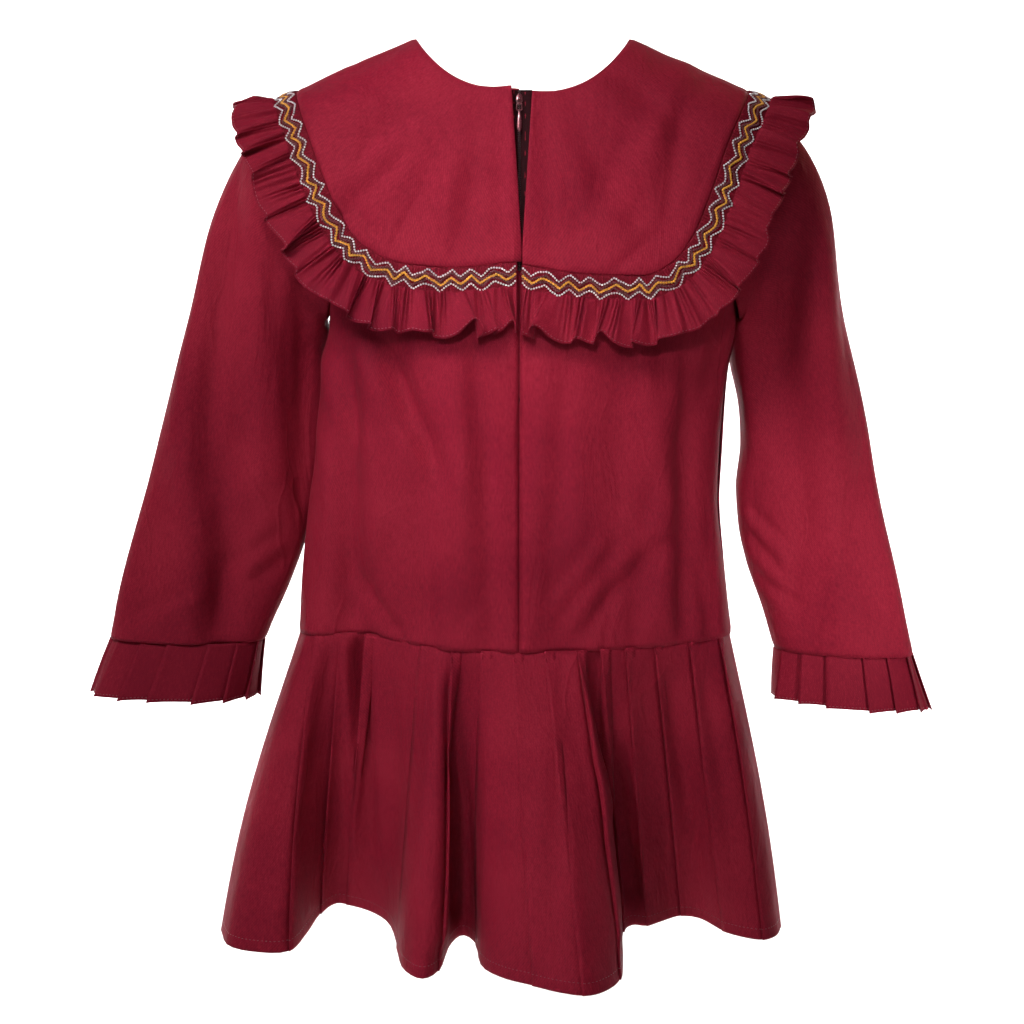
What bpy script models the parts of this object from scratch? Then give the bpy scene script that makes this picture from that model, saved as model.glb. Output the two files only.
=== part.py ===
"""A girl's long-sleeved dress with a wide smocked and ruffled collar and a pleated skirt.

The dress hangs filled out, as when it is worn, with nobody in it.  The back, with its zip, faces -Y.
Metres, +Z up.  The origin lies between the two neck points, at the top of the shoulder seams.
Tables are in millimetres.  Left and right are the wearer's: left is -X, as the back is seen.
"""
import math

import bmesh
import bpy
import numpy as np
from mathutils import Matrix, Vector

MM = 0.001

# Cloth walls and the gaps between pieces
WALL = 0.0016
TRIM_WALL = 0.0013
SEAM = 0.0003
WAIST_GAP = 0.0007
COLLAR_LIFT = 0.0016
COLLAR_NECK_LIFT = 0.0005

# Heights of the main lines
SHOULDER_END_Z = -0.030
UNDERARM_Z = -0.213
WAIST_Z = -0.4615
HEM_Z = -0.705

# Neckline: how far it drops below the neck points at the centre, and how square it is
NECK_DROP_BACK = {-1: 0.040, 1: 0.043}
NECK_DROP_FRONT = 0.060
NECK_POWER = 3.0

# Armhole: how far its middle is cut in from the body's side, as a share of the half width
ARMHOLE_CUT = 0.12

# A dent low on the left of the back, where the cloth has sunk in
DENT_X = -0.122
DENT_Z = -0.462
DENT_WIDTH = 0.032
DENT_HEIGHT = 0.060
DENT_SHARE = 0.42
DENT_SEAM_LIFT = 0.005

# Collar trim
BAND_WIDTH = 0.018
BAND_INNER_LINES = (SEAM, BAND_WIDTH / 2, BAND_WIDTH)
RUFFLE_WIDTH = 0.034
FRONT_COLLAR_SHARE = 0.88

# Shares of the collar's edge over which the trim turns straight down, and along the shoulder ridge
CENTRE_BLEND = 0.15
RIDGE_BLEND = 0.10
SPLIT_X = 0.0018
SPLIT_TOP = 0.0150
SPLIT_BOTTOM = 0.0006
SPLIT_CLOSED_Z = -0.155

# Smocking: zigzag rows raised on the band
SMOCK_PITCH = 0.0168
SMOCK_SWING = 0.0023
SMOCK_LINES = (
    # distance from the collar's edge, share of the swing, share of the raise
    (0.0000, 0.0, 0.0),
    (0.0017, 0.4, 0.0),
    (0.0040, 1.0, 1.0),
    (0.0065, 1.0, 0.0),
    (0.0090, 1.0, 1.0),
    (0.0115, 1.0, 0.0),
    (0.0140, 1.0, 1.0),
    (0.0163, 0.4, 0.0),
    (0.0180, 0.0, 0.0),
)
SMOCK_RAISE = 0.0010

# Ruffle: gathers at the band and waves at its hem
WAVE_PITCH = 0.0205
GATHER_DEPTH = 0.0010
WAVE_DEPTH = 0.0038
WAVE_GROWTH = 1.2
RUFFLE_ROWS = (0.0, 0.45, 1.0)

# Sleeve cap: which way it leaves the shoulder and the underarm (outwards, upwards), and how far it
# keeps that way and the tube's, as shares of the cap's length
CAP_TOP_WAY = (0.92, -0.38)
CAP_LOW_WAY = (0.94, 0.34)
CAP_REACH_OUT = 1.39
CAP_REACH_IN = 0.93
CAP_SPACING = 1.2

# Pleats
SKIRT_PLEAT_DEPTH = 0.0030
SKIRT_PLEAT_STEP = 0.0030
SKIRT_PLEAT_FADE = 0.55
CUFF_PLEATS = 14
CUFF_PLEAT_DEPTH = 0.0022
CUFF_SEAM_SHARE = 0.55
CUFF_ROWS = (0.0, 0.5, 1.0)
PLEAT_STEPS = (0.0, 0.5, 0.9)
PLEAT_HEIGHTS = (1.0, 0.55, 0.08)

# Zip
ZIP_LENGTH = 0.330
ZIP_TAPE_WIDTH = 0.024
ZIP_TAPE_THICKNESS = 0.0010
SLIDER_WIDTH = 0.0050
SLIDER_LENGTH = 0.0085
SLIDER_THICKNESS = 0.0022
SLIDER_TAPER = 0.86
SLIDER_DROP = 0.0085
BRIDGE_WIDTH = 0.0016
BRIDGE_BAR = 0.0010
PULL_THICKNESS = 0.0009
PULL_CLEARANCE = 0.00035
PULL_WIRE = 0.0009
PULL_LOOP_TOP = 0.0019
PULL_LOOP_LOW = 0.0027
PULL_LOOP_LENGTH = 0.0082
PULL_TAB = (
    # distance below the hinge axis, half width
    (0.0082, 0.0010),
    (0.0110, 0.0012),
    (0.0150, 0.0016),
    (0.0185, 0.0019),
    (0.0215, 0.0019),
    (0.0235, 0.0014),
    (0.0245, 0.0006),
)

# Sampling of the cloth
NECK_COLUMNS = 7
SHOULDER_COLUMNS = 5
ARMHOLE_STEPS = 8
BODY_ROWS = 6
CAP_ROWS = 5
COLLAR_COLUMNS = 14
COLLAR_ROWS = 7
SKIRT_ROWS = 6

WINE = (0.300, 0.017, 0.042, 1.0)
DEEP_WINE = (0.170, 0.010, 0.024, 1.0)
ENAMEL = (0.130, 0.012, 0.022, 1.0)


def smooth_curve(keys, values, at):
    """Read a table's column at any key by a monotone cubic through its rows."""
    keys = np.asarray(keys, dtype=float)
    values = np.asarray(values, dtype=float)
    at = np.clip(np.asarray(at, dtype=float), keys[0], keys[-1])
    span = np.diff(keys)
    rise = np.diff(values) / span
    slope = np.empty_like(values)
    slope[0] = rise[0]
    slope[-1] = rise[-1]
    for i in range(1, len(values) - 1):
        if rise[i - 1] * rise[i] <= 0.0:
            slope[i] = 0.0
        else:
            before = 2.0 * span[i] + span[i - 1]
            after = span[i] + 2.0 * span[i - 1]
            slope[i] = (before + after) / (before / rise[i - 1] + after / rise[i])
    i = np.clip(np.searchsorted(keys, at, side="right") - 1, 0, len(keys) - 2)
    t = (at - keys[i]) / span[i]
    return ((2 * t**3 - 3 * t**2 + 1) * values[i] + (t**3 - 2 * t**2 + t) * span[i] * slope[i]
            + (3 * t**2 - 2 * t**3) * values[i + 1] + (t**3 - t**2) * span[i] * slope[i + 1])


class Table:
    """A short table with named columns in millimetres; the first column is its key."""

    def __init__(self, columns, *rows, plain=()):
        self.columns = columns.split()
        self.plain = plain
        self.rows = np.array(sorted(rows), dtype=float)

    def at(self, column, key):
        """Read one column, in metres, at a key in metres."""
        place = self.columns.index(column)
        scale = 1.0 if column in self.plain else MM
        return smooth_curve(self.rows[:, 0] * MM, self.rows[:, place] * scale, key)


# Cross-sections of the bodice: a rounded oval at each height, with its own half width on either side
TORSO = Table(
    "height left right back front power",
    (12, 50, 55, 44, 44, 2.3),
    (0, 78, 83.5, 52, 52, 2.3),
    (-30, 150, 155, 64, 60, 2.3),
    (-45, 158, 168, 68, 65, 2.3),
    (-80, 157, 172, 75, 71, 2.3),
    (-130, 154, 172, 80, 76, 2.3),
    (-213, 149.5, 171, 81, 78, 2.3),
    (-250, 155, 164, 79, 76, 2.2),
    (-310, 159, 157.5, 76, 74, 2.1),
    (-350, 165, 156, 75, 74, 2.0),
    (-400, 170, 161, 75, 74, 1.9),
    (-462, 175.5, 169.5, 76, 75, 1.8),
    (-480, 177, 171, 76, 75, 1.8),
    plain=("power",),
)

# The same for the collar, which lies over the shoulders and the tops of the sleeves
MANTLE = Table(
    "height left right back front power",
    (12, 50, 55, 44, 44, 2.3),
    (0, 78, 83.5, 52, 52, 2.3),
    (-30, 150, 155, 64, 60, 2.3),
    (-38.5, 168.5, 174, 67, 64, 2.3),
    (-46, 186, 191.5, 69, 66, 2.4),
    (-60, 206, 212, 72.5, 69, 2.6),
    (-100, 224, 234, 79, 75, 2.8),
    (-160, 236, 246, 84, 80, 3.0),
    (-240, 245, 255, 87, 83, 3.0),
    plain=("power",),
)

# The collar's edge from the centre back to the shoulder ridge, on the left and on the right
COLLAR_EDGE = Table(
    "station left_x left_z right_x right_z flare",
    (0, -1.8, -166, 1.8, -168, 0.16),
    (160, -50, -170, 52, -175, 0.16),
    (300, -88, -166.5, 90, -176, 0.18),
    (430, -115, -153, 113, -166, 0.20),
    (560, -133, -128, 129, -144, 0.22),
    (700, -146, -99, 142, -112, 0.24),
    (850, -157, -69, 155, -76, 0.28),
    (1000, -168.5, -38.5, 174, -38.5, 0.30),
    plain=("flare",),
)

# Sleeves: the outer and the inner side of each section, and how deep it is, from underarm to cuff
SLEEVES = {
    -1: Table(
        "station outer_x outer_z inner_x inner_z back front",
        (0, -259, -217, -158, -242, 37, 37),
        (140, -268, -250, -160.5, -277, 36, 36),
        (290, -279, -291, -164, -318, 34, 34),
        (440, -290, -330, -168, -354, 33, 33),
        (590, -301, -368, -173, -386, 32, 32),
        (750, -312, -408, -184, -418, 31, 31),
        (900, -321, -442, -196, -447, 30, 30),
        (1000, -327, -464, -203.5, -467, 29, 29),
    ),
    1: Table(
        "station outer_x outer_z inner_x inner_z back front",
        (0, 257, -218, 176, -240, 35, 35),
        (140, 265, -255, 177.5, -275, 34, 34),
        (290, 273, -293, 177, -310, 33, 33),
        (440, 281, -333, 173, -345, 33, 33),
        (590, 289, -368, 175, -372, 32, 32),
        (750, 298, -404, 182, -402, 31, 31),
        (900, 308, -444, 194, -437, 30, 30),
        (1000, 316.5, -478, 205, -474, 29, 29),
    ),
}

# Cuff hems: the outer and the inner side, and the depth
CUFF_HEMS = {
    -1: {"outer": (-0.345, -0.508), "inner": (-0.213, -0.511), "depth": 0.034},
    1: {"outer": (0.334, -0.523), "inner": (0.202, -0.511), "depth": 0.034},
}

# Skirt, back: pleats (fold 1) and the cloth between them (fold 0), where each starts at the waist
# and where it reaches the hem
SKIRT_BACK = (
    # fold, waist_x, hem_x, hem_y, lift
    (0, -175.2, -243, -12, 0),
    (0, -171, -232, -46, 0),
    (0, -166.5, -207, -60, 0),
    (1, -161, -182, -58, 0),
    (0, -151, -171, -28, 3),
    (1, -141, -163, 2, 8),
    (0, -131, -153, 14, 12),
    (1, -120, -143, 14, 12),
    (0, -107, -122, 8, 8),
    (0, -92, -106, -10, 4),
    (1, -76, -97, -50, 0),
    (0, -68, -90, -92, 0),
    (0, -60, -75, -113, 0),
    (1, -52, -62, -98, 0),
    (0, -44, -55, -52, 2),
    (0, -36, -45, -32, 3),
    (1, -29, -34, -50, 2),
    (0, -21, -29, -88, 0),
    (0, -13, -12, -112, 0),
    (1, -5, 10, -126, 0),
    (0, 7, 28, -138, 0),
    (1, 19, 47, -145, 0),
    (0, 31, 63, -138, 0),
    (1, 43.5, 77, -115, 0),
    (0, 52, 82, -70, 0),
    (1, 62, 85, -25, 3),
    (0, 71, 93, -12, 4),
    (1, 81, 104, -14, 4),
    (0, 92, 117, -4, 4),
    (1, 104, 134, 6, 5),
    (0, 118, 150, 2, 4),
    (1, 132, 166, -14, 0),
    (0, 146, 181, -28, 0),
    (1, 157.5, 196, -34, 0),
    (0, 164.5, 209, -24, 0),
    (0, 169.2, 215.5, -4, 0),
)

# Skirt, front: its pleats, its three broad flutes at the hem, and the hem between them
FRONT_PLEATS = 14
FRONT_FLUTES = (
    # centre_x, half_width, depth
    (-132, 38, 46),
    (-22, 40, 62),
    (104, 42, 52),
)
FRONT_HEM_LEFT = (-243.0, -12.0)
FRONT_HEM_RIGHT = (215.5, -4.0)
FRONT_HEM_SWELL = 52.0
FRONT_EVEN_SHARE = 0.5
FRONT_SEAM_INSET = 0.3


def cloth_material(name, colour, roughness=0.78, metallic=0.0):
    """A plain Principled material."""
    material = bpy.data.materials.new(name)
    material.use_nodes = True
    shader = material.node_tree.nodes["Principled BSDF"]
    shader.inputs["Base Color"].default_value = colour
    shader.inputs["Roughness"].default_value = roughness
    shader.inputs["Metallic"].default_value = metallic
    material.diffuse_color = colour
    return material


def add_object(name, mesh, material):
    """Link a mesh to the scene as an object of its own."""
    mesh.materials.append(material)
    thing = bpy.data.objects.new(name, mesh)
    bpy.context.collection.objects.link(thing)
    return thing


def unit(vectors):
    """Vectors of length one."""
    return vectors / np.maximum(np.linalg.norm(vectors, axis=-1, keepdims=True), 1e-12)


def build_wall(name, outer, inner, material, around=False):
    """Close two grids of points (rows, columns) into one wall, its edges joined."""
    rows, columns = outer.shape[:2]
    inner_rows = inner.shape[0]
    points = np.concatenate([outer.reshape(-1, 3), inner.reshape(-1, 3)])
    first_inner = rows * columns
    last = columns if around else columns - 1
    faces = []
    for j in range(last):
        k = (j + 1) % columns
        for first, count in ((0, rows), (first_inner, inner_rows)):
            for i in range(count - 1):
                upper, lower = first + i * columns, first + (i + 1) * columns
                faces.append((upper + j, lower + j, lower + k))
                faces.append((upper + j, lower + k, upper + k))
        bottom = (rows - 1) * columns
        inner_bottom = first_inner + (inner_rows - 1) * columns
        faces.append((j, k, first_inner + k, first_inner + j))
        faces.append((bottom + k, bottom + j, inner_bottom + j, inner_bottom + k))
    if not around:
        for j in (0, columns - 1):
            if rows == inner_rows:
                for i in range(rows - 1):
                    faces.append((i * columns + j, (i + 1) * columns + j,
                                  first_inner + (i + 1) * columns + j, first_inner + i * columns + j))
            else:
                front = [i * columns + j for i in range(rows)]
                behind = [first_inner + i * columns + j for i in reversed(range(inner_rows))]
                faces.append(tuple(front + behind))
    mesh = bpy.data.meshes.new(name)
    mesh.from_pydata([tuple(p) for p in points], [], faces)
    shape = bmesh.new()
    shape.from_mesh(mesh)
    bmesh.ops.recalc_face_normals(shape, faces=shape.faces)
    shape.to_mesh(mesh)
    shape.free()
    return add_object(name, mesh, material)


def inner_points(outer, thickness, towards, around=False):
    """Move a grid inwards by a wall's thickness, square to the folds of its rows.

    towards is a grid or one point that lies on the inner side.
    """
    down = np.gradient(outer, axis=0)
    if around:
        before = np.roll(outer, 1, axis=1)
        after = np.roll(outer, -1, axis=1)
    else:
        before = np.concatenate([2 * outer[:, :1] - outer[:, 1:2], outer[:, :-1]], axis=1)
        after = np.concatenate([outer[:, 1:], 2 * outer[:, -1:] - outer[:, -2:-1]], axis=1)
    left = unit(np.cross(down, outer - before))
    right = unit(np.cross(down, after - outer))
    middle = unit(left + right)
    reach = 1.0 / np.maximum(np.sum(middle * right, axis=-1, keepdims=True), 0.62)
    sign = np.sign(np.sum(middle * (np.asarray(towards) - outer), axis=-1).mean())
    return outer + sign * middle * reach * thickness


def half_width(table, x, z):
    """The oval's half width at a height, on the side of x; the shoulders slope in a straight line."""
    left = np.asarray(x) < 0.0
    width = np.where(left, table.at("left", z), table.at("right", z))
    neck = np.where(left, table.at("left", 0.0), table.at("right", 0.0))
    end = np.where(left, table.at("left", SHOULDER_END_Z), table.at("right", SHOULDER_END_Z))
    return np.where(np.asarray(z) > SHOULDER_END_Z, neck + (end - neck) * z / SHOULDER_END_Z, width)


def half_depth(table, face, x, z):
    """The oval's half depth towards the back (face -1) or the front (face 1), less the dent."""
    depth = table.at("back" if face < 0 else "front", z)
    if face < 0 and table is TORSO:
        dent = np.exp(-((x - DENT_X) / DENT_WIDTH) ** 2 - ((z - DENT_Z) / DENT_HEIGHT) ** 2)
        depth = depth * (1.0 - DENT_SHARE * dent)
    return depth


def surface_y(table, face, x, z):
    """The y of the garment's face over a place (x, z)."""
    power = table.at("power", z)
    share = np.clip(np.abs(x) / half_width(table, x, z), 0.0, 1.0)
    return face * half_depth(table, face, x, z) * (1.0 - share**power) ** (1.0 / power)


def oval_level(table, face, x, y, z):
    """A value that is 1 on the garment's face and grows outwards."""
    power = table.at("power", z)
    return ((np.abs(x) / half_width(table, x, z)) ** power
            + (np.abs(y) / half_depth(table, face, x, z)) ** power)


def surface_normals(table, face, points):
    """Outward directions at points on the garment's face."""
    step = 2e-5
    x, y, z = points[..., 0], points[..., 1], points[..., 2]
    normal = np.stack([
        oval_level(table, face, x + step, y, z) - oval_level(table, face, x - step, y, z),
        oval_level(table, face, x, y + step, z) - oval_level(table, face, x, y - step, z),
        oval_level(table, face, x, y, z + step) - oval_level(table, face, x, y, z - step),
    ], axis=-1)
    return unit(normal)


def lay_on(table, face, x, z, lift):
    """Points over (x, z), lifted off the face, kept clear of the seam between front and back."""
    flat = np.stack([x, surface_y(table, face, x, z), z], axis=-1)
    points = flat + surface_normals(table, face, flat) * np.asarray(lift)[..., None]
    points[..., 1] = face * np.maximum(face * points[..., 1], SEAM / 2)
    return points


def neckline_z(side, face, share):
    """The neckline's height at a share of the way from the centre (0) to the neck point (1)."""
    drop = NECK_DROP_BACK[side] if face < 0 else NECK_DROP_FRONT
    return -drop * (1.0 - share**NECK_POWER)


def neck_half_width(side):
    """Half the neckline's width on one side."""
    return float(TORSO.at("left" if side < 0 else "right", 0.0))


def armhole_edge(side, face, angle):
    """Points on the armhole, from the shoulder (angle 0) to the underarm (angle pi)."""
    z = SHOULDER_END_Z + (UNDERARM_Z - SHOULDER_END_Z) * (1.0 - np.cos(angle)) / 2.0
    power = TORSO.at("power", z)
    share = 1.0 - ARMHOLE_CUT * np.abs(np.sin(angle)) ** power
    x = side * share * half_width(TORSO, side * np.ones_like(z), z)
    return x, z


def waist_z(x):
    """The waist seam's height; it rides up a little over the dent."""
    return WAIST_Z + DENT_SEAM_LIFT * np.exp(-((x - DENT_X) / (1.5 * DENT_WIDTH)) ** 2)


def bodice_columns(neck_share):
    """Shares of the half width at which the bodice's columns lie; the neck point is one of them."""
    at_neck = np.sin(np.linspace(0.0, math.pi / 2, NECK_COLUMNS + 1)) * neck_share
    beyond = np.sin(np.linspace(0.0, math.pi / 2, SHOULDER_COLUMNS + 1)[1:])
    return np.concatenate([at_neck, neck_share + (1.0 - neck_share) * beyond])


def bodice_half(side, face):
    """Places (x, z) of one half of a bodice panel, a row at each height and a column at each share."""
    neck_share = neck_half_width(side) / abs(armhole_edge(side, face, np.array(0.0))[0])
    shares = bodice_columns(neck_share)
    angles = np.linspace(0.0, math.pi, ARMHOLE_STEPS + 1)
    edge_x, edge_z = armhole_edge(side, face, angles)
    top_x = shares * edge_x[0]
    top_z = np.where(shares <= neck_share,
                     neckline_z(side, face, np.minimum(shares / neck_share, 1.0)),
                     SHOULDER_END_Z * (shares - neck_share) / (1.0 - neck_share))
    rows_x, rows_z = [], []
    for x_end, z_end in zip(edge_x, edge_z):
        down = (z_end - edge_z[0]) / (edge_z[-1] - edge_z[0])
        rows_x.append(shares * x_end)
        rows_z.append(top_z + (edge_z[-1] - top_z) * down)
    rows_x[0] = top_x
    for row in range(1, BODY_ROWS + 1):
        down = row / BODY_ROWS
        x_guess = shares * side * half_width(TORSO, np.array(float(side)), WAIST_Z)
        z = edge_z[-1] + (waist_z(x_guess) + WAIST_GAP / 2 - edge_z[-1]) * down
        rows_x.append(shares * side * half_width(TORSO, side * np.ones_like(z), z))
        rows_z.append(z)
    return np.array(rows_x), np.array(rows_z)


def build_bodice(material):
    """The front in one piece and the back in two, which meet at the zip."""
    for side, name in ((-1, "bodice_back_left"), (1, "bodice_back_right")):
        x, z = bodice_half(side, -1)
        x = side * np.maximum(side * x, SEAM)
        outer = lay_on(TORSO, -1, x, z, np.zeros_like(x))
        inner = lay_on(TORSO, -1, x, z, np.full_like(x, -WALL))
        inner[:, 0, 0] = outer[:, 0, 0]
        build_wall(name, outer, inner, material)
    left_x, left_z = bodice_half(-1, 1)
    right_x, right_z = bodice_half(1, 1)
    x = np.concatenate([left_x[:, ::-1], right_x[:, 1:]], axis=1)
    z = np.concatenate([left_z[:, ::-1], right_z[:, 1:]], axis=1)
    outer = lay_on(TORSO, 1, x, z, np.zeros_like(x))
    inner = lay_on(TORSO, 1, x, z, np.full_like(x, -WALL))
    build_wall("bodice_front", outer, inner, material)


def split_x(side, z):
    """The x of a collar half's edge at the centre back; the slit is wider at the neck."""
    top = -NECK_DROP_BACK[side]
    open_share = np.clip((z - SPLIT_CLOSED_Z) / (top - SPLIT_CLOSED_Z), 0.0, 1.0)
    gap = SPLIT_BOTTOM + (SPLIT_TOP - SPLIT_BOTTOM) * open_share
    return SPLIT_X + side * gap / 2.0


class CollarEdge:
    """The collar's edge on one side and face, and the strips that run along it."""

    def __init__(self, side, face):
        self.side = side
        self.face = face
        self.name = "left" if side < 0 else "right"

    def place(self, share):
        """The edge's (x, z) from the centre (share 0) to the shoulder ridge (share 1)."""
        x = COLLAR_EDGE.at(self.name + "_x", share)
        z = COLLAR_EDGE.at(self.name + "_z", share)
        if self.face > 0:
            ridge = COLLAR_EDGE.at(self.name + "_z", 1.0)
            z = ridge + (z - ridge) * FRONT_COLLAR_SHARE
            x = x - COLLAR_EDGE.at(self.name + "_x", 0.0) * (1.0 - share)
        return x, z

    def outward(self, share):
        """The direction in (x, z) that points out of the collar, square to its edge."""
        step = 0.01
        x0, z0 = self.place(np.clip(share - step, 0.0, 1.0))
        x1, z1 = self.place(np.clip(share + step, 0.0, 1.0))
        along_x, along_z = x1 - x0, z1 - z0
        length = np.hypot(along_x, along_z)
        out_x = self.side * along_z / length
        out_z = -self.side * along_x / length
        settle = np.clip(share / CENTRE_BLEND, 0.0, 1.0)
        out_x = out_x * settle
        out_z = out_z * settle - (1.0 - settle)
        length = np.hypot(out_x, out_z)
        out_x, out_z = out_x / length, out_z / length
        ridge_z = COLLAR_EDGE.at(self.name + "_z", 1.0)
        ridge_run = (half_width(MANTLE, self.side, ridge_z - 0.006)
                     - half_width(MANTLE, self.side, ridge_z)) / 0.006
        ridge_length = math.hypot(float(ridge_run), 1.0)
        turn = np.clip((share - 1.0) / RIDGE_BLEND + 1.0, 0.0, 1.0)
        out_x = out_x + (self.side * ridge_run / ridge_length - out_x) * turn
        out_z = out_z + (-1.0 / ridge_length - out_z) * turn
        length = np.hypot(out_x, out_z)
        return out_x / length, out_z / length

    def strip(self, share, distance):
        """Places (x, z) at a distance outside the edge."""
        x, z = self.place(share)
        out_x, out_z = self.outward(share)
        x = x + out_x * distance
        z = z + out_z * distance
        reach = half_width(MANTLE, self.side, z)
        return self.side * np.where(share >= 1.0, reach, np.minimum(self.side * x, reach)), z

    def points(self, share, distance, lift):
        """Points on the collar's surface at a distance outside the edge."""
        x, z = self.strip(share, distance)
        return lay_on(MANTLE, self.face, x, z, lift)

    def run(self, distance):
        """Shares along the strip and the length reached at each, closer together at the ridge."""
        shares = np.sin(np.linspace(0.0, math.pi / 2, 400))
        line = self.points(shares, np.full_like(shares, distance), np.zeros_like(shares))
        steps = np.linalg.norm(np.diff(line, axis=0), axis=1)
        return shares, np.concatenate([[0.0], np.cumsum(steps)])

    def length(self, distance):
        """The strip's length along a line at a distance outside the edge."""
        return float(self.run(distance)[1][-1])

    def even_shares(self, count, distance):
        """Shares that part the strip into equal lengths."""
        shares, run = self.run(distance)
        return np.interp(np.linspace(0.0, run[-1], count + 1), run, shares)


def collar_places(edge, shares, steps):
    """Places (x, z) of a collar half from the neckline to its edge."""
    side, face = edge.side, edge.face
    neck_x = side * neck_half_width(side) * shares
    neck_z = neckline_z(side, face, shares)
    if face < 0:
        neck_x = neck_x + (1.0 - shares) * split_x(side, neck_z)
    edge_x, edge_z = edge.place(shares)
    x = neck_x + (edge_x - neck_x) * steps[:, None]
    z = neck_z + (edge_z - neck_z) * steps[:, None]
    if face < 0:
        x[:, 0] = split_x(side, z[:, 0])
    ridge = shares >= 1.0
    x[:, ridge] = side * half_width(MANTLE, side, z[:, ridge])
    return x, z


def join_halves(halves, take):
    """Run a grid on from the left half, through the centre, to the right half."""
    left, right = (take(edge) for edge in halves)
    return np.concatenate([left[:, ::-1], right[:, 1:]], axis=1)


def build_collar(material):
    """Two collar halves at the back and one piece in front, on the shoulders and sleeve tops."""
    shares = np.sin(np.linspace(0.0, math.pi / 2, COLLAR_COLUMNS + 1))
    steps = np.linspace(0.0, 1.0, COLLAR_ROWS + 1)

    def layer(edge, thickness):
        x, z = collar_places(edge, shares, steps)
        lift = np.full_like(x, COLLAR_LIFT + thickness)
        lift[0] = COLLAR_NECK_LIFT + thickness
        return lay_on(MANTLE, edge.face, x, z, lift)

    for side, name in ((-1, "collar_back_left"), (1, "collar_back_right")):
        edge = CollarEdge(side, -1)
        build_wall(name, layer(edge, WALL), layer(edge, 0.0), material)
    halves = (CollarEdge(-1, 1), CollarEdge(1, 1))
    outer = join_halves(halves, lambda edge: layer(edge, WALL))
    inner = join_halves(halves, lambda edge: layer(edge, 0.0))
    build_wall("collar_front", outer, inner, material)


def smock_layer(edge):
    """The band's outer points: three zigzag rows raised on it, and its plain inner points."""
    turns = max(2, round(edge.length(BAND_WIDTH / 2) / SMOCK_PITCH))
    shares = edge.even_shares(2 * turns, BAND_WIDTH / 2)
    swing = SMOCK_SWING * np.where(np.arange(2 * turns + 1) % 2 == 0, 1.0, -1.0)
    outer = []
    for distance, swing_share, raise_share in SMOCK_LINES:
        line = np.clip(distance + swing_share * swing, SEAM, BAND_WIDTH)
        lift = np.full_like(shares, COLLAR_LIFT + WALL + raise_share * SMOCK_RAISE)
        outer.append(edge.points(shares, line, lift))
    plain_lift = np.full_like(shares, COLLAR_LIFT)
    inner = [edge.points(shares, np.full_like(shares, line), plain_lift) for line in BAND_INNER_LINES]
    return trim_strip(edge, np.array(outer)), trim_strip(edge, np.array(inner))


def trim_strip(edge, grid):
    """Keep a strip on its own side of the slit at the back and of the shoulder ridge."""
    if edge.face < 0:
        clear = np.maximum(edge.side * (grid[..., 0] - SPLIT_X), SPLIT_BOTTOM / 2.0)
        grid[..., 0] = SPLIT_X + edge.side * clear
        grid[:, 0, 0] = SPLIT_X + edge.side * SPLIT_BOTTOM / 2.0
    grid[..., 1] = edge.face * np.maximum(edge.face * grid[..., 1], SEAM / 2)
    grid[:, -1, 1] = edge.face * SEAM / 2
    return grid


def build_band(material):
    """The smocked band along the collar's edge."""
    for side, name in ((-1, "band_back_left"), (1, "band_back_right")):
        edge = CollarEdge(side, -1)
        outer, inner = smock_layer(edge)
        build_wall(name, outer, inner, material)
    halves = (CollarEdge(-1, 1), CollarEdge(1, 1))
    outer = join_halves(halves, lambda edge: smock_layer(edge)[0])
    inner = join_halves(halves, lambda edge: smock_layer(edge)[1])
    build_wall("band_front", outer, inner, material)


def ruffle_layer(edge):
    """The ruffle's outer points, from the gathered edge to the waving hem."""
    waves = max(2, round(edge.length(BAND_WIDTH + RUFFLE_WIDTH) / WAVE_PITCH))
    columns = 4 * waves
    shares = edge.even_shares(columns, BAND_WIDTH + RUFFLE_WIDTH / 2)
    lift = np.full_like(shares, COLLAR_LIFT + WALL)
    start = edge.points(shares, np.full_like(shares, BAND_WIDTH + 2 * SEAM), lift)
    beyond = edge.points(shares, np.full_like(shares, 1.25 * BAND_WIDTH), lift)
    fall = unit(beyond - start)
    out = unit(np.cross(fall, np.gradient(start, axis=0)))
    face_normals = surface_normals(MANTLE, edge.face, start)
    out = out * np.sign(np.sum(out * face_normals, axis=-1, keepdims=True))
    flare = COLLAR_EDGE.at("flare", shares)[:, None]
    way = unit(fall + flare * out)
    lift_way = unit(out - flare * fall)
    index = np.arange(columns + 1)
    gather = np.where(index % 2 == 0, 1.0, -1.0)[:, None]
    wave = np.cos(index * math.pi / 2.0)[:, None]
    rows = []
    for share in RUFFLE_ROWS:
        height = (1.0 + gather) * GATHER_DEPTH * (1.0 - share)
        height = height + (1.0 + wave) * WAVE_DEPTH * share**WAVE_GROWTH
        rows.append(start + way * share * RUFFLE_WIDTH + lift_way * height)
    return trim_strip(edge, np.array(rows))


def ruffle_inner(edge, outer):
    """The ruffle's inner points, on the side of the body's middle."""
    middle = np.array([0.0, 0.0, UNDERARM_Z / 2.0])
    return trim_strip(edge, inner_points(outer, TRIM_WALL, middle))


def build_ruffle(material):
    """The gathered ruffle that hangs from the band."""
    for side, name in ((-1, "ruffle_back_left"), (1, "ruffle_back_right")):
        edge = CollarEdge(side, -1)
        outer = ruffle_layer(edge)
        inner = ruffle_inner(edge, outer)
        build_wall(name, outer, inner, material)
    halves = (CollarEdge(-1, 1), CollarEdge(1, 1))
    outer = join_halves(halves, ruffle_layer)
    inner = join_halves(halves, lambda edge: ruffle_inner(edge, ruffle_layer(edge)))
    build_wall("ruffle_front", outer, inner, material)


def sleeve_angles():
    """Angles around a sleeve: the outer side, over the back to the inner side, and on by the front."""
    return np.linspace(0.0, 2.0 * math.pi, 2 * ARMHOLE_STEPS, endpoint=False)


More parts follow.
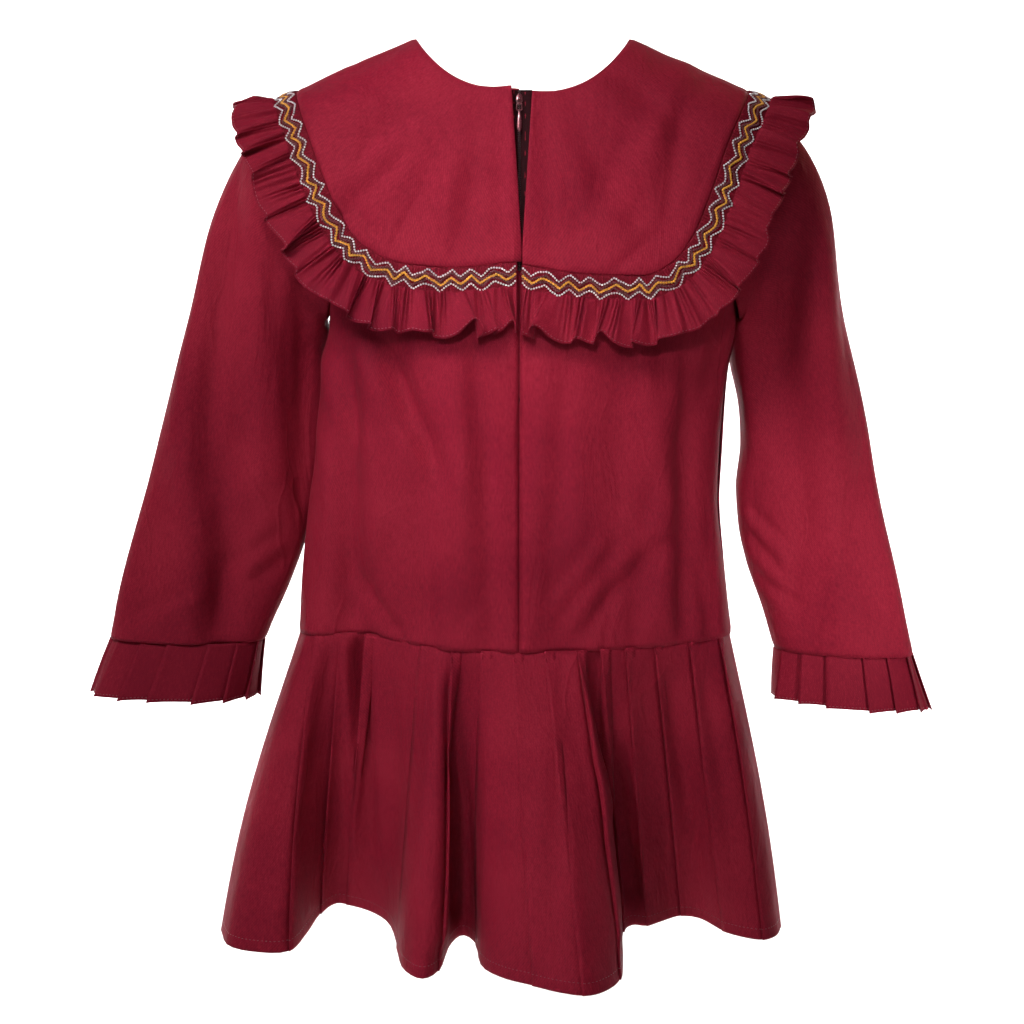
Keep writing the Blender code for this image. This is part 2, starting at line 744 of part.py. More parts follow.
def sleeve_ring(side, station):
    """One section of a sleeve's tube."""
    table = SLEEVES[side]
    angle = sleeve_angles()
    outer = np.array([table.at("outer_x", station), 0.0, table.at("outer_z", station)])
    inner = np.array([table.at("inner_x", station), 0.0, table.at("inner_z", station)])
    centre = (outer + inner) / 2.0
    reach = (outer - inner) / 2.0
    depth = np.where(np.sin(angle) >= 0.0, table.at("back", station), table.at("front", station))
    ring = centre + reach * np.cos(angle)[:, None]
    ring[:, 1] = -depth * np.sin(angle)
    return ring


def sleeve_armhole(side):
    """The armhole's ring and the ways in which the sleeve leaves it."""
    angle = sleeve_angles()
    at_back = np.sin(angle) >= -1e-9
    fold = np.where(at_back, angle, 2.0 * math.pi - angle)
    ring = np.zeros((len(angle), 3))
    for face, chosen in ((-1, at_back), (1, ~at_back)):
        x, z = armhole_edge(side, face, fold[chosen])
        ring[chosen] = np.stack([x, surface_y(TORSO, face, x, z), z], axis=-1)
    down = ((1.0 - np.cos(fold)) / 2.0)[:, None]
    top_way = np.array([side * CAP_TOP_WAY[0], 0.0, CAP_TOP_WAY[1]])
    low_way = np.array([side * CAP_LOW_WAY[0], 0.0, CAP_LOW_WAY[1]])
    way = unit(top_way * (1.0 - down) + low_way * down)
    gap = unit(way + np.array([0.0, 0.0, 1.0]) * down**3)
    return ring + gap * SEAM * (1.0 + down), way


def build_sleeve(side, name, material):
    """A sleeve: its cap rises from the armhole and bends over into the tube."""
    start, start_way = sleeve_armhole(side)
    end = sleeve_ring(side, 0.0)
    end_way = unit(sleeve_ring(side, 0.05) - end)
    reach = np.linalg.norm(end - start, axis=1, keepdims=True)
    out_way = CAP_REACH_OUT * reach * start_way
    in_way = CAP_REACH_IN * reach * end_way
    rings = []
    for t in np.linspace(0.0, 1.0, CAP_ROWS + 1)[:-1] ** CAP_SPACING:
        rings.append((2 * t**3 - 3 * t**2 + 1) * start + (t**3 - 2 * t**2 + t) * out_way
                     + (3 * t**2 - 2 * t**3) * end + (t**3 - t**2) * in_way)
    for station in SLEEVES[side].rows[:, 0] * MM:
        rings.append(sleeve_ring(side, station))
    outer = np.array(rings)
    middle = np.broadcast_to(outer.mean(axis=1, keepdims=True), outer.shape)
    inner = inner_points(outer, WALL, middle, around=True)
    build_wall(name, outer, inner, material, around=True)


def build_cuff(side, name, material):
    """A cuff: a short ruffle of flat pleats that flares from the sleeve's end."""
    table = SLEEVES[side]
    hem = CUFF_HEMS[side]
    shares = np.tile(PLEAT_STEPS, CUFF_PLEATS)
    lift = np.tile(PLEAT_HEIGHTS, CUFF_PLEATS) - 0.5
    angle = (np.repeat(np.arange(CUFF_PLEATS), len(PLEAT_STEPS)) + shares) * 2.0 * math.pi / CUFF_PLEATS
    angle = angle * -side
    top_depth = float(table.at("back", 1.0))
    top_outer = np.array([table.at("outer_x", 1.0), 0.0, table.at("outer_z", 1.0)])
    top_inner = np.array([table.at("inner_x", 1.0), 0.0, table.at("inner_z", 1.0)])
    low_outer = np.array([hem["outer"][0], 0.0, hem["outer"][1]])
    low_inner = np.array([hem["inner"][0], 0.0, hem["inner"][1]])
    way = unit((low_outer + low_inner) / 2.0 - (top_outer + top_inner) / 2.0)
    rings = []
    for share in CUFF_ROWS:
        outer = top_outer + (low_outer - top_outer) * share
        inner = top_inner + (low_inner - top_inner) * share
        depth = top_depth + (hem["depth"] - top_depth) * share
        reach = (outer - inner) / 2.0
        height = CUFF_PLEAT_DEPTH * (CUFF_SEAM_SHARE + (1.0 - CUFF_SEAM_SHARE) * share) * lift
        ring = (outer + inner) / 2.0 + reach * np.cos(angle)[:, None]
        ring[:, 1] = -depth * np.sin(angle)
        normal = unit(reach[None, :] / np.linalg.norm(reach) ** 2 * np.cos(angle)[:, None]
                      + np.array([0.0, -1.0, 0.0]) * (np.sin(angle) / depth)[:, None])
        ring = ring + normal * height[:, None] + way * SEAM
        rings.append(ring)
    outer = np.array(rings)
    centre = ((top_outer + top_inner + low_outer + low_inner) / 4.0)[None, None, :]
    inner = inner_points(outer, TRIM_WALL, centre, around=True)
    build_wall(name, outer, inner, material, around=True)


def front_skirt_rows():
    """Rows like SKIRT_BACK for the front, whose flutes follow a formula."""
    rows = []
    left = -float(TORSO.at("left", WAIST_Z)) / MM + FRONT_SEAM_INSET
    right = float(TORSO.at("right", WAIST_Z)) / MM - FRONT_SEAM_INSET
    parts = 2 * FRONT_PLEATS
    for i in range(parts + 1):
        even = i / parts
        across = even + (1.0 - FRONT_EVEN_SHARE) * ((1.0 - math.cos(math.pi * even)) / 2.0 - even)
        waist_x = left + (right - left) * across
        hem_x = FRONT_HEM_LEFT[0] + (FRONT_HEM_RIGHT[0] - FRONT_HEM_LEFT[0]) * across
        side_y = FRONT_HEM_LEFT[1] + (FRONT_HEM_RIGHT[1] - FRONT_HEM_LEFT[1]) * across
        swell = FRONT_HEM_SWELL
        for centre, half, depth in FRONT_FLUTES:
            swell += depth * math.exp(-((hem_x - centre) / half) ** 2)
        rows.append((i % 2, waist_x, hem_x, side_y + swell * math.sin(math.pi * across) ** 0.5, 0))
    return rows


def build_skirt(name, face, table_rows, material):
    """A skirt panel: knife pleats at the waist that open into flutes at the hem."""
    waist, hem, heights = [], [], []
    step = SKIRT_PLEAT_STEP / MM
    for index, (fold, waist_x, hem_x, hem_y, lift) in enumerate(table_rows):
        if fold:
            before = table_rows[index - 1]
            back = step / math.hypot(hem_x - before[2], hem_y - before[3])
            waist.append(waist_x - step)
            hem.append((hem_x - (hem_x - before[2]) * back, hem_y - (hem_y - before[3]) * back, lift))
            heights.append(0.0)
        waist.append(waist_x)
        hem.append((hem_x, hem_y, lift))
        heights.append(1.0 if fold else 0.5)
    heights[0] = heights[-1] = 0.2
    waist_x = np.array(waist) * MM
    z_top = waist_z(waist_x) if face < 0 else np.full_like(waist_x, WAIST_Z)
    waist_y = surface_y(TORSO, face, waist_x, z_top)
    waist_y[[0, -1]] = 0.0
    waist_points = np.stack([waist_x, waist_y, z_top - WAIST_GAP / 2], axis=-1)
    hem_points = np.array(hem) * MM + np.array([0.0, 0.0, HEM_Z])
    down = np.linspace(0.0, 1.0, SKIRT_ROWS + 1)[:, None, None]
    base = waist_points + (hem_points - waist_points) * down
    middle = base * np.array([1.0, 0.0, 1.0])
    within = unit(inner_points(base, 1.0, middle) - base)
    depth = SKIRT_PLEAT_DEPTH * (1.0 - SKIRT_PLEAT_FADE * down[..., 0])
    outer = base - within * (depth * np.array(heights))[..., None]
    inner = inner_points(outer, WALL, outer + within)
    inner[0, :, 2] = outer[0, :, 2] = waist_points[:, 2]
    inner[-1, :, 2] = outer[-1, :, 2]
    for grid in (outer, inner):
        for end in (0, -1):
            grid[:, end, 1] = base[:, end, 1] + face * SEAM / 2
    build_wall(name, outer, inner, material)


def zip_place(z, lift):
    """A point on the back's centre line and the way out of it."""
    point = lay_on(TORSO, -1, np.array([SEAM / 2]), np.array([z]), np.array([lift]))[0]
    point[0] = 0.0
    flat = np.array([[SEAM / 2, float(surface_y(TORSO, -1, np.array(SEAM / 2), np.array(z))), z]])
    normal = surface_normals(TORSO, -1, flat)[0]
    normal[0] = 0.0
    return point, unit(normal)


def build_zip_tape(material):
    """The zip's tape, sewn inside the centre back from the neck down."""
    top = -NECK_DROP_BACK[-1] - 0.002
    z = np.linspace(top, top - ZIP_LENGTH, 13)
    across = np.array([-0.5, 0.0, 0.5]) * ZIP_TAPE_WIDTH
    x_grid, z_grid = np.meshgrid(across, z)
    safe_x = np.where(x_grid == 0.0, 1e-6, x_grid)
    near = -WALL - 2.5 * SEAM
    outer = lay_on(TORSO, -1, safe_x, z_grid, np.full_like(z_grid, near))
    inner = lay_on(TORSO, -1, safe_x, z_grid, np.full_like(z_grid, near - ZIP_TAPE_THICKNESS))
    build_wall("zip_tape", outer, inner, material)


def box_mesh(shape, centre, size):
    """Add a box to a shape, given its centre and full size."""
    matrix = Matrix.Translation(centre) @ Matrix.Diagonal((*size, 1.0))
    return bmesh.ops.create_cube(shape, size=1.0, matrix=matrix)["verts"]


def slider_frame():
    """The slider's own frame: origin on the hinge axis, x across, y out of the cloth, z up along it."""
    lift = SEAM + SLIDER_THICKNESS + PULL_CLEARANCE + PULL_THICKNESS / 2
    point, normal = zip_place(-NECK_DROP_BACK[-1] - SLIDER_DROP, lift)
    out = Vector(normal)
    across = Vector((-1.0, 0.0, 0.0))
    turn = Matrix((across, out, across.cross(out))).transposed().to_4x4()
    return Matrix.Translation(Vector(point)) @ turn


def build_slider(material, frame):
    """The zip's slider: a waisted body and the bridge that the pull hangs from."""
    base = -(SLIDER_THICKNESS + PULL_CLEARANCE + PULL_THICKNESS / 2)
    place = Matrix.Translation((0.0, base + SLIDER_THICKNESS / 2, 0.0))
    place = place @ Matrix.Rotation(math.pi / 2, 4, "X")
    shape = bmesh.new()
    body = bmesh.ops.create_cone(shape, cap_ends=True, segments=12, radius1=SLIDER_WIDTH / 2,
                                 radius2=SLIDER_WIDTH / 2, depth=SLIDER_THICKNESS, matrix=place)
    for vert in body["verts"]:
        if vert.co.z < 0.0:
            vert.co.x *= SLIDER_TAPER
        vert.co.z *= SLIDER_LENGTH / SLIDER_WIDTH
    mesh = bpy.data.meshes.new("zip_slider")
    shape.to_mesh(mesh)
    shape.free()
    slider = add_object("zip_slider", mesh, material)
    rise = PULL_THICKNESS / 2 + PULL_CLEARANCE + BRIDGE_BAR / 2
    foot = base + SLIDER_THICKNESS / 2
    post = (BRIDGE_WIDTH, rise - foot, BRIDGE_BAR)
    pieces = (
        ((0.0, (foot + rise) / 2, rise), post),
        ((0.0, (foot + rise) / 2, -rise), post),
        ((0.0, rise, 0.0), (BRIDGE_WIDTH, BRIDGE_BAR, 2 * rise + BRIDGE_BAR)),
    )
    for number, (centre, size) in enumerate(pieces):
        block = bmesh.new()
        block_place = Matrix.Translation(centre) @ Matrix.Diagonal((*size, 1.0))
        bmesh.ops.create_cube(block, size=1.0, matrix=block_place)
        block_mesh = bpy.data.meshes.new(f"bridge_{number}")
        block.to_mesh(block_mesh)
        block.free()
        cutter = bpy.data.objects.new(f"bridge_{number}", block_mesh)
        bpy.context.collection.objects.link(cutter)
        cutter.hide_render = True
        cutter.display_type = "WIRE"
        cutter.matrix_world = frame
        join = slider.modifiers.new(f"bridge_{number}", "BOOLEAN")
        join.operation = "UNION"
        join.solver = "EXACT"
        join.object = cutter
    slider.matrix_world = frame


def build_pull(material, frame):
    """The zip's pull: a wire loop round the bridge and a drop-shaped tab, in one flat piece."""
    top = PULL_WIRE / 2
    low = -PULL_LOOP_LENGTH
    outline = [(PULL_LOOP_TOP, top), (PULL_LOOP_LOW, low + PULL_WIRE), (PULL_LOOP_LOW, low)]
    outline += [(half, -below) for below, half in PULL_TAB]
    outline += [(-x, z) for x, z in reversed(outline)]
    hole = [(PULL_LOOP_TOP - PULL_WIRE, top - PULL_WIRE), (PULL_LOOP_LOW - PULL_WIRE, low + PULL_WIRE)]
    hole += [(-x, z) for x, z in reversed(hole)]
    shape = bmesh.new()
    edges = []
    for ring in (outline, hole):
        verts = [shape.verts.new((x, -PULL_THICKNESS / 2, z)) for x, z in ring]
        edges += [shape.edges.new((verts[i - 1], verts[i])) for i in range(len(verts))]
    flat = bmesh.ops.triangle_fill(shape, edges=edges, use_beauty=True)
    faces = [item for item in flat["geom"] if isinstance(item, bmesh.types.BMFace)]
    grown = bmesh.ops.extrude_face_region(shape, geom=faces, use_keep_orig=True)
    moved = [item for item in grown["geom"] if isinstance(item, bmesh.types.BMVert)]
    bmesh.ops.translate(shape, verts=moved, vec=(0.0, PULL_THICKNESS, 0.0))
    bmesh.ops.recalc_face_normals(shape, faces=shape.faces)
    mesh = bpy.data.meshes.new("zip_pull")
    shape.to_mesh(mesh)
    shape.free()
    pull = add_object("zip_pull", mesh, material)
    pull.matrix_world = frame


def main():
    """Clear the scene and make the dress."""
    for thing in list(bpy.data.objects):
        bpy.data.objects.remove(thing, do_unlink=True)
    cloth = cloth_material("wine_cotton", WINE)
    trim = cloth_material("wine_cotton_trim", WINE, 0.82)
    tape = cloth_material("zip_tape_weave", DEEP_WINE, 0.7)
    enamel = cloth_material("zip_enamel", ENAMEL, 0.35, 0.6)
    build_bodice(cloth)
    build_collar(cloth)
    build_band(trim)
    build_ruffle(trim)
    for side, name in ((-1, "left"), (1, "right")):
        build_sleeve(side, f"sleeve_{name}", cloth)
        build_cuff(side, f"cuff_{name}", trim)
    build_skirt("skirt_back", -1, SKIRT_BACK, cloth)
    build_skirt("skirt_front", 1, front_skirt_rows(), cloth)
    build_zip_tape(tape)
    frame = slider_frame()
    build_slider(enamel, frame)
    build_pull(enamel, frame)


main()
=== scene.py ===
"""Looks of a girl's smocked dress, filled out and seen from the back, built around its CAD frame.

Metres, +Z up, -Y out of the back with the zip.  Tables are in millimetres.
"""

import logging
import math
from dataclasses import dataclass
from enum import Enum, IntEnum
from typing import Callable, Sequence

import bmesh
import bpy
import numpy as np
from mathutils import Matrix, Vector


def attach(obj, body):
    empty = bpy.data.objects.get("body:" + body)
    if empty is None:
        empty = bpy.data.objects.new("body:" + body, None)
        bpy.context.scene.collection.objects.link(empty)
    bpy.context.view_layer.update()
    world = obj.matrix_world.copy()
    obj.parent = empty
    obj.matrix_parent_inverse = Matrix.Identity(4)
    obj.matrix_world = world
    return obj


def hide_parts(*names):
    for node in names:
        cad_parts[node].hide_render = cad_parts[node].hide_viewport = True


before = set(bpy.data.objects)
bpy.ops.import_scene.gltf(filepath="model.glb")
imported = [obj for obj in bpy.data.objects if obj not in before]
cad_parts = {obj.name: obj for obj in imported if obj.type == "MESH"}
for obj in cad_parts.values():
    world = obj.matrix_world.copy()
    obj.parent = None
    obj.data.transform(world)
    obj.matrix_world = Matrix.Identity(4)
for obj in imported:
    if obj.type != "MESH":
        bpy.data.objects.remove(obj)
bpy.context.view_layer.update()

LOG = logging.getLogger("dress")
Array = np.ndarray
Colour = tuple[float, float, float]
MM = 0.001
BODY = "dress"


class Way(IntEnum):
    """A way along an axis, whose number is the sign there."""

    @property
    def word(self) -> str:
        """The way's name in tables and in pieces."""
        return self.name.lower()


class Side(Way):
    """The halves of the dress, as they lie in the photograph."""

    LEFT = -1
    RIGHT = 1


class Face(Way):
    """The faces of the dress."""

    BACK = -1
    FRONT = 1


class Held(Enum):
    """How a sheet of cloth is held."""

    HUNG = "hung"
    DRAPED = "draped"
    GATHERED = "gathered"


class Thread(Enum):
    """The colours of the smocking's rows."""

    WHITE = "white"
    GOLD = "gold"
    WINE = "wine"


# Cloth and the lines that the CAD solids share
CLOTH = 0.0009
SEAM = 0.0003
SHOULDER_END_Z = -0.030
UNDERARM_Z = -0.213
WAIST_Z = -0.4615
HEM_Z = -0.705
NECK_DROP_BACK = {Side.LEFT: 0.040, Side.RIGHT: 0.043}
NECK_DROP_FRONT = 0.060
NECK_POWER = 3.0
ARMHOLE_CUT = 0.12
DENT = (-0.122, -0.462, 0.032, 0.060, 0.36)
DENT_SEAM_LIFT = 0.005
COLLAR_LIFT = 0.0014
SPLIT_X = 0.0018
SPLIT_TOP = 0.0150
SPLIT_BOTTOM = 0.0006
SPLIT_CLOSED_Z = -0.155
BAND_WIDTH = 0.018
RUFFLE_WIDTH = 0.034
FRONT_COLLAR_SHARE = 0.88
CENTRE_BLEND = 0.15
RIDGE_BLEND = 0.10


def hermite(t: Array, start: Array, start_way: Array, end: Array, end_way: Array) -> Array:
    """A cubic from a start to an end (t from 0 to 1) that leaves and arrives along the given ways."""
    return ((2 * t**3 - 3 * t**2 + 1) * start + (t**3 - 2 * t**2 + t) * start_way
            + (3 * t**2 - 2 * t**3) * end + (t**3 - t**2) * end_way)


def smooth_curve(keys: Array, values: Array, at: Array) -> Array:
    """Read a table's column at any key by a monotone cubic through its rows.

    Args:
        keys: the rows' keys, rising.
        values: the column's values.
        at: the keys to read at.

    Returns:
        The values there.
    """
    at = np.clip(np.asarray(at, dtype=float), keys[0], keys[-1])
    span = np.diff(keys)
    rise = np.diff(values) / span
    slope = np.concatenate([rise[:1], np.zeros(len(values) - 2), rise[-1:]])
    for i in range(1, len(values) - 1):
        if rise[i - 1] * rise[i] > 0.0:
            before = 2.0 * span[i] + span[i - 1]
            after = span[i] + 2.0 * span[i - 1]
            slope[i] = (before + after) / (before / rise[i - 1] + after / rise[i])
    i = np.clip(np.searchsorted(keys, at, side="right") - 1, 0, len(keys) - 2)
    return hermite((at - keys[i]) / span[i], values[i], span[i] * slope[i],
                   values[i + 1], span[i] * slope[i + 1])


class Table:
    """A short table with named columns in millimetres; the first column is its key."""

    def __init__(self, columns: str, *rows: Sequence[float], plain: Sequence[str] = ()) -> None:
        """Keep the rows in the order of their keys."""
        self.columns = columns.split()
        self.plain = plain
        self.rows = np.array(sorted(rows), dtype=float)

    def at(self, column: str, key: Array) -> Array:
        """Read one column, in metres, at a key in metres."""
        place = self.columns.index(column)
        scale = 1.0 if column in self.plain else MM
        return smooth_curve(self.rows[:, 0] * MM, self.rows[:, place] * scale, key)


def unit(vectors: Array) -> Array:
    """Vectors of length one."""
    return vectors / np.maximum(np.linalg.norm(vectors, axis=-1, keepdims=True), 1e-12)


def bump(x: Array, centre: float, width: float) -> Array:
    """A soft hill of height one."""
    return np.exp(-(((x - centre) / width) ** 2))


def ripple(s: Array, pitch: float, drift: Sequence[tuple[float, float, float]] = ()) -> Array:
    """A phase that grows by a turn for each pitch, unevenly.

    Args:
        s: lengths along the cloth.
        pitch: the mean distance between folds.
        drift: (share of a turn, wavelength, phase) of each slow swing.

    Returns:
        The phase in radians.
    """
    turns = s / pitch
    for share, wavelength, phase in drift:
        turns = turns + share * np.sin(2.0 * math.pi * s / wavelength + phase)
    return 2.0 * math.pi * turns


@dataclass(frozen=True)
class Crease:
    """A soft trough along a line on a panel with a low ridge beside it, in millimetres."""

    x0: float
    z0: float
    x1: float
    z1: float
    width: float
    depth: float

    def height(self, x: Array, z: Array) -> Array:
        """The panel's height over places (x, z), in metres.

        Args:
            x: places across.
            z: heights.

        Returns:
            The heights.
        """
        run_x, run_z = (self.x1 - self.x0) * MM, (self.z1 - self.z0) * MM
        length = math.hypot(run_x, run_z)
        off_x, off_z = x - self.x0 * MM, z - self.z0 * MM
        along = (off_x * run_x + off_z * run_z) / length**2
        across = (off_x * run_z - off_z * run_x) / length
        beyond = (np.maximum(0.0, -along) + np.maximum(0.0, along - 1.0)) * length
        width = self.width * MM
        fade = np.exp(-((beyond / (2.0 * width)) ** 2)) * (0.55 + 0.45 * np.cos((along - 0.5) * 2.0))
        trough = np.exp(-((across / width) ** 2))
        ridge = np.exp(-(((across - 1.9 * width) / (1.2 * width)) ** 2))
        return self.depth * MM * fade * (0.55 * ridge - 1.15 * trough)


def relief(creases: Sequence[Crease], x: Array, z: Array) -> Array:
    """The height of all creases together.

    Args:
        creases: the creases.
        x: places across.
        z: heights.

    Returns:
        The heights.
    """
    height = np.zeros_like(x)
    for crease in creases:
        height = height + crease.height(x, z)
    return height


TORSO = Table(
    "height left right back front power",
    (12, 50, 55, 44, 44, 2.3),
    (0, 78, 83.5, 52, 52, 2.3),
    (-30, 150, 155, 64, 60, 2.3),
    (-45, 158, 168, 68, 65, 2.3),
    (-80, 157, 172, 75, 71, 2.3),
    (-130, 154, 172, 80, 76, 2.3),
    (-213, 149.5, 171, 81, 78, 2.3),
    (-250, 155, 164, 79, 76, 2.2),
    (-310, 159, 157.5, 76, 74, 2.1),
    (-350, 165, 156, 75, 74, 2.0),
    (-400, 170, 161, 75, 74, 1.9),
    (-462, 175.5, 169.5, 76, 75, 1.8),
    (-480, 177, 171, 76, 75, 1.8),
    plain=("power",),
)

MANTLE = Table(
    "height left right back front power",
    (12, 50, 55, 44, 44, 2.3),
    (0, 78, 83.5, 52, 52, 2.3),
    (-30, 150, 155, 64, 60, 2.3),
    (-38.5, 168.5, 174, 67, 64, 2.3),
    (-46, 186, 191.5, 69, 66, 2.4),
    (-60, 206, 212, 72.5, 69, 2.6),
    (-100, 224, 234, 79, 75, 2.8),
    (-160, 236, 246, 84, 80, 3.0),
    (-240, 245, 255, 87, 83, 3.0),
    plain=("power",),
)

COLLAR_EDGE = Table(
    "station left_x left_z right_x right_z flare",
    (0, -1.8, -166, 1.8, -168, 0.16),
    (160, -50, -170, 52, -175, 0.16),
    (300, -88, -166.5, 90, -176, 0.18),
    (430, -115, -153, 113, -166, 0.20),
    (560, -133, -128, 129, -144, 0.22),
    (700, -146, -99, 142, -112, 0.24),
    (850, -157, -69, 155, -76, 0.28),
    (1000, -168.5, -38.5, 174, -38.5, 0.30),
    plain=("flare",),
)

SLEEVES = {
    Side.LEFT: Table(
        "station outer_x outer_z inner_x inner_z back front",
        (0, -259, -217, -158, -242, 37, 37),
        (140, -268, -250, -160.5, -277, 36, 36),
        (290, -279, -291, -164, -318, 34, 34),
        (440, -290, -330, -168, -354, 33, 33),
        (590, -301, -368, -173, -386, 32, 32),
        (750, -312, -408, -184, -418, 31, 31),
        (900, -321, -442, -196, -447, 30, 30),
        (1000, -327, -464, -203.5, -467, 29, 29),
    ),
    Side.RIGHT: Table(
        "station outer_x outer_z inner_x inner_z back front",
        (0, 257, -218, 176, -240, 35, 35),
        (140, 265, -255, 177.5, -275, 34, 34),
        (290, 273, -293, 177, -310, 33, 33),
        (440, 281, -333, 173, -345, 33, 33),
        (590, 289, -368, 175, -372, 32, 32),
        (750, 298, -404, 182, -402, 31, 31),
        (900, 308, -444, 194, -437, 30, 30),
        (1000, 316.5, -478, 205, -474, 29, 29),
    ),
}

CUFF_HEMS = {
    Side.LEFT: {"outer": (-0.346, -0.509), "inner": (-0.211, -0.513), "depth": 0.034},
    Side.RIGHT: {"outer": (0.331, -0.523), "inner": (0.203, -0.512), "depth": 0.034},
}

SKIRT_BACK = (
    # fold, waist_x, hem_x, hem_y, lift
    (0, -175.2, -243, -12, 0),
    (0, -171, -232, -46, 0),
    (0, -166.5, -207, -60, 0),
    (1, -161, -182, -58, 0),
    (0, -151, -171, -28, 3),
    (1, -141, -163, 2, 8),
    (0, -131, -153, 14, 12),
    (1, -120, -143, 14, 12),
    (0, -107, -122, 8, 8),
    (0, -92, -106, -10, 4),
    (1, -76, -97, -50, 0),
    (0, -68, -90, -92, 0),
    (0, -60, -75, -113, 0),
    (1, -52, -62, -98, 0),
    (0, -44, -55, -52, 2),
    (0, -36, -45, -32, 3),
    (1, -29, -34, -50, 2),
    (0, -21, -29, -88, 0),
    (0, -13, -12, -112, 0),
    (1, -5, 10, -126, 0),
    (0, 7, 28, -138, 0),
    (1, 19, 47, -145, 0),
    (0, 31, 63, -138, 0),
    (1, 43.5, 77, -115, 0),
    (0, 52, 82, -70, 0),
    (1, 62, 85, -25, 3),
    (0, 71, 93, -12, 4),
    (1, 81, 104, -14, 4),
    (0, 92, 117, -4, 4),
    (1, 104, 134, 6, 5),
    (0, 118, 150, 2, 4),
    (1, 132, 166, -14, 0),
    (0, 146, 181, -28, 0),
    (1, 157.5, 196, -34, 0),
    (0, 164.5, 209, -24, 0),
    (0, 169.2, 215.5, -4, 0),
)

FRONT_PLEATS = 14
FRONT_FLUTES = ((-132, 38, 46), (-22, 40, 62), (104, 42, 52))
FRONT_HEM_LEFT = (-243.0, -12.0)
FRONT_HEM_RIGHT = (215.5, -4.0)
FRONT_HEM_SWELL = 52.0


class OvalForm:
    """A rounded oval at each height, with its own half width on either side."""

    def __init__(self, table: Table, dent: Sequence[float] | None = None) -> None:
        """Keep the table, and a dent in the back as (x, z, width, height, share)."""
        self.table = table
        self.dent = dent

    def half_width(self, x: Array, z: Array) -> Array:
        """The half width on the side of x; the shoulders slope in a straight line.

        Args:
            x: places across.
            z: heights.

        Returns:
            The half widths.
        """
        left = np.asarray(x) < 0.0
        width = np.where(left, self.table.at("left", z), self.table.at("right", z))
        neck = np.where(left, self.table.at("left", 0.0), self.table.at("right", 0.0))
        end = np.where(left, self.table.at("left", SHOULDER_END_Z), self.table.at("right", SHOULDER_END_Z))
        return np.where(np.asarray(z) > SHOULDER_END_Z, neck + (end - neck) * z / SHOULDER_END_Z, width)

    def half_depth(self, face: Face, x: Array, z: Array) -> Array:
        """The half depth towards a face, less the dent.

        Args:
            face: the face.
            x: places across.
            z: heights.

        Returns:
            The half depths.
        """
        depth = self.table.at(face.word, z)
        if face < 0 and self.dent:
            dent_x, dent_z, width, height, share = self.dent
            depth = depth * (1.0 - share * bump(x, dent_x, width) * bump(z, dent_z, height))
        return depth

    def surface_y(self, face: Face, x: Array, z: Array) -> Array:
        """The y of the face over a place (x, z)."""
        power = self.table.at("power", z)
        share = np.clip(np.abs(x) / self.half_width(x, z), 0.0, 1.0)
        return face * self.half_depth(face, x, z) * (1.0 - share**power) ** (1.0 / power)

    def level(self, face: Face, x: Array, y: Array, z: Array) -> Array:
        """A value that is 1 on the face and grows outwards."""
        power = self.table.at("power", z)
        return ((np.abs(x) / self.half_width(x, z)) ** power
                + (np.abs(y) / self.half_depth(face, x, z)) ** power)

    def normals(self, face: Face, points: Array) -> Array:
        """Outward directions at points on the face.

        Args:
            face: the face.
            points: the points.

        Returns:
            The directions.
        """
        step = 2e-5
        x, y, z = points[..., 0], points[..., 1], points[..., 2]
        return unit(np.stack([
            self.level(face, x + step, y, z) - self.level(face, x - step, y, z),
            self.level(face, x, y + step, z) - self.level(face, x, y - step, z),
            self.level(face, x, y, z + step) - self.level(face, x, y, z - step),
        ], axis=-1))

    def lay(self, face: Face, x: Array, z: Array, lift: Array) -> Array:
        """Points over (x, z), lifted off the face, kept clear of the side seam.

        Args:
            face: the face.
            x: places across.
            z: heights.
            lift: how far they are lifted.

        Returns:
            The points.
        """
        flat = np.stack([x, self.surface_y(face, x, z), z], axis=-1)
        points = flat + self.normals(face, flat) * np.asarray(lift)[..., None]
        points[..., 1] = face * np.maximum(face * points[..., 1], SEAM / 2)
        return points


BODICE_FORM = OvalForm(TORSO, DENT)
COLLAR_FORM = OvalForm(MANTLE)


def neckline_z(side: Side, face: Face, share: Array) -> Array:
    """The neckline's height from the centre (share 0) to the neck point (share 1)."""
    drop = NECK_DROP_BACK[side] if face < 0 else NECK_DROP_FRONT
    return -drop * (1.0 - share**NECK_POWER)


def armhole_edge(side: Side, angle: Array) -> tuple[Array, Array]:
    """Places (x, z) on the armhole, from the shoulder (angle 0) to the underarm (angle pi)."""
    z = SHOULDER_END_Z + (UNDERARM_Z - SHOULDER_END_Z) * (1.0 - np.cos(angle)) / 2.0
    share = 1.0 - ARMHOLE_CUT * np.abs(np.sin(angle)) ** TORSO.at("power", z)
    return side * share * BODICE_FORM.half_width(side * np.ones_like(z), z), z


def waist_z(x: Array) -> Array:
    """The waist seam's height; it rides up a little over the dent."""
    return WAIST_Z + DENT_SEAM_LIFT * bump(x, DENT[0], 1.5 * DENT[2])


def split_x(side: Side, z: Array) -> Array:
    """The x of a collar half's edge at the centre back; the slit is wider at the neck."""
    top = -NECK_DROP_BACK[side]
    open_share = np.clip((z - SPLIT_CLOSED_Z) / (top - SPLIT_CLOSED_Z), 0.0, 1.0)
    return SPLIT_X + side * (SPLIT_BOTTOM + (SPLIT_TOP - SPLIT_BOTTOM) * open_share) / 2.0


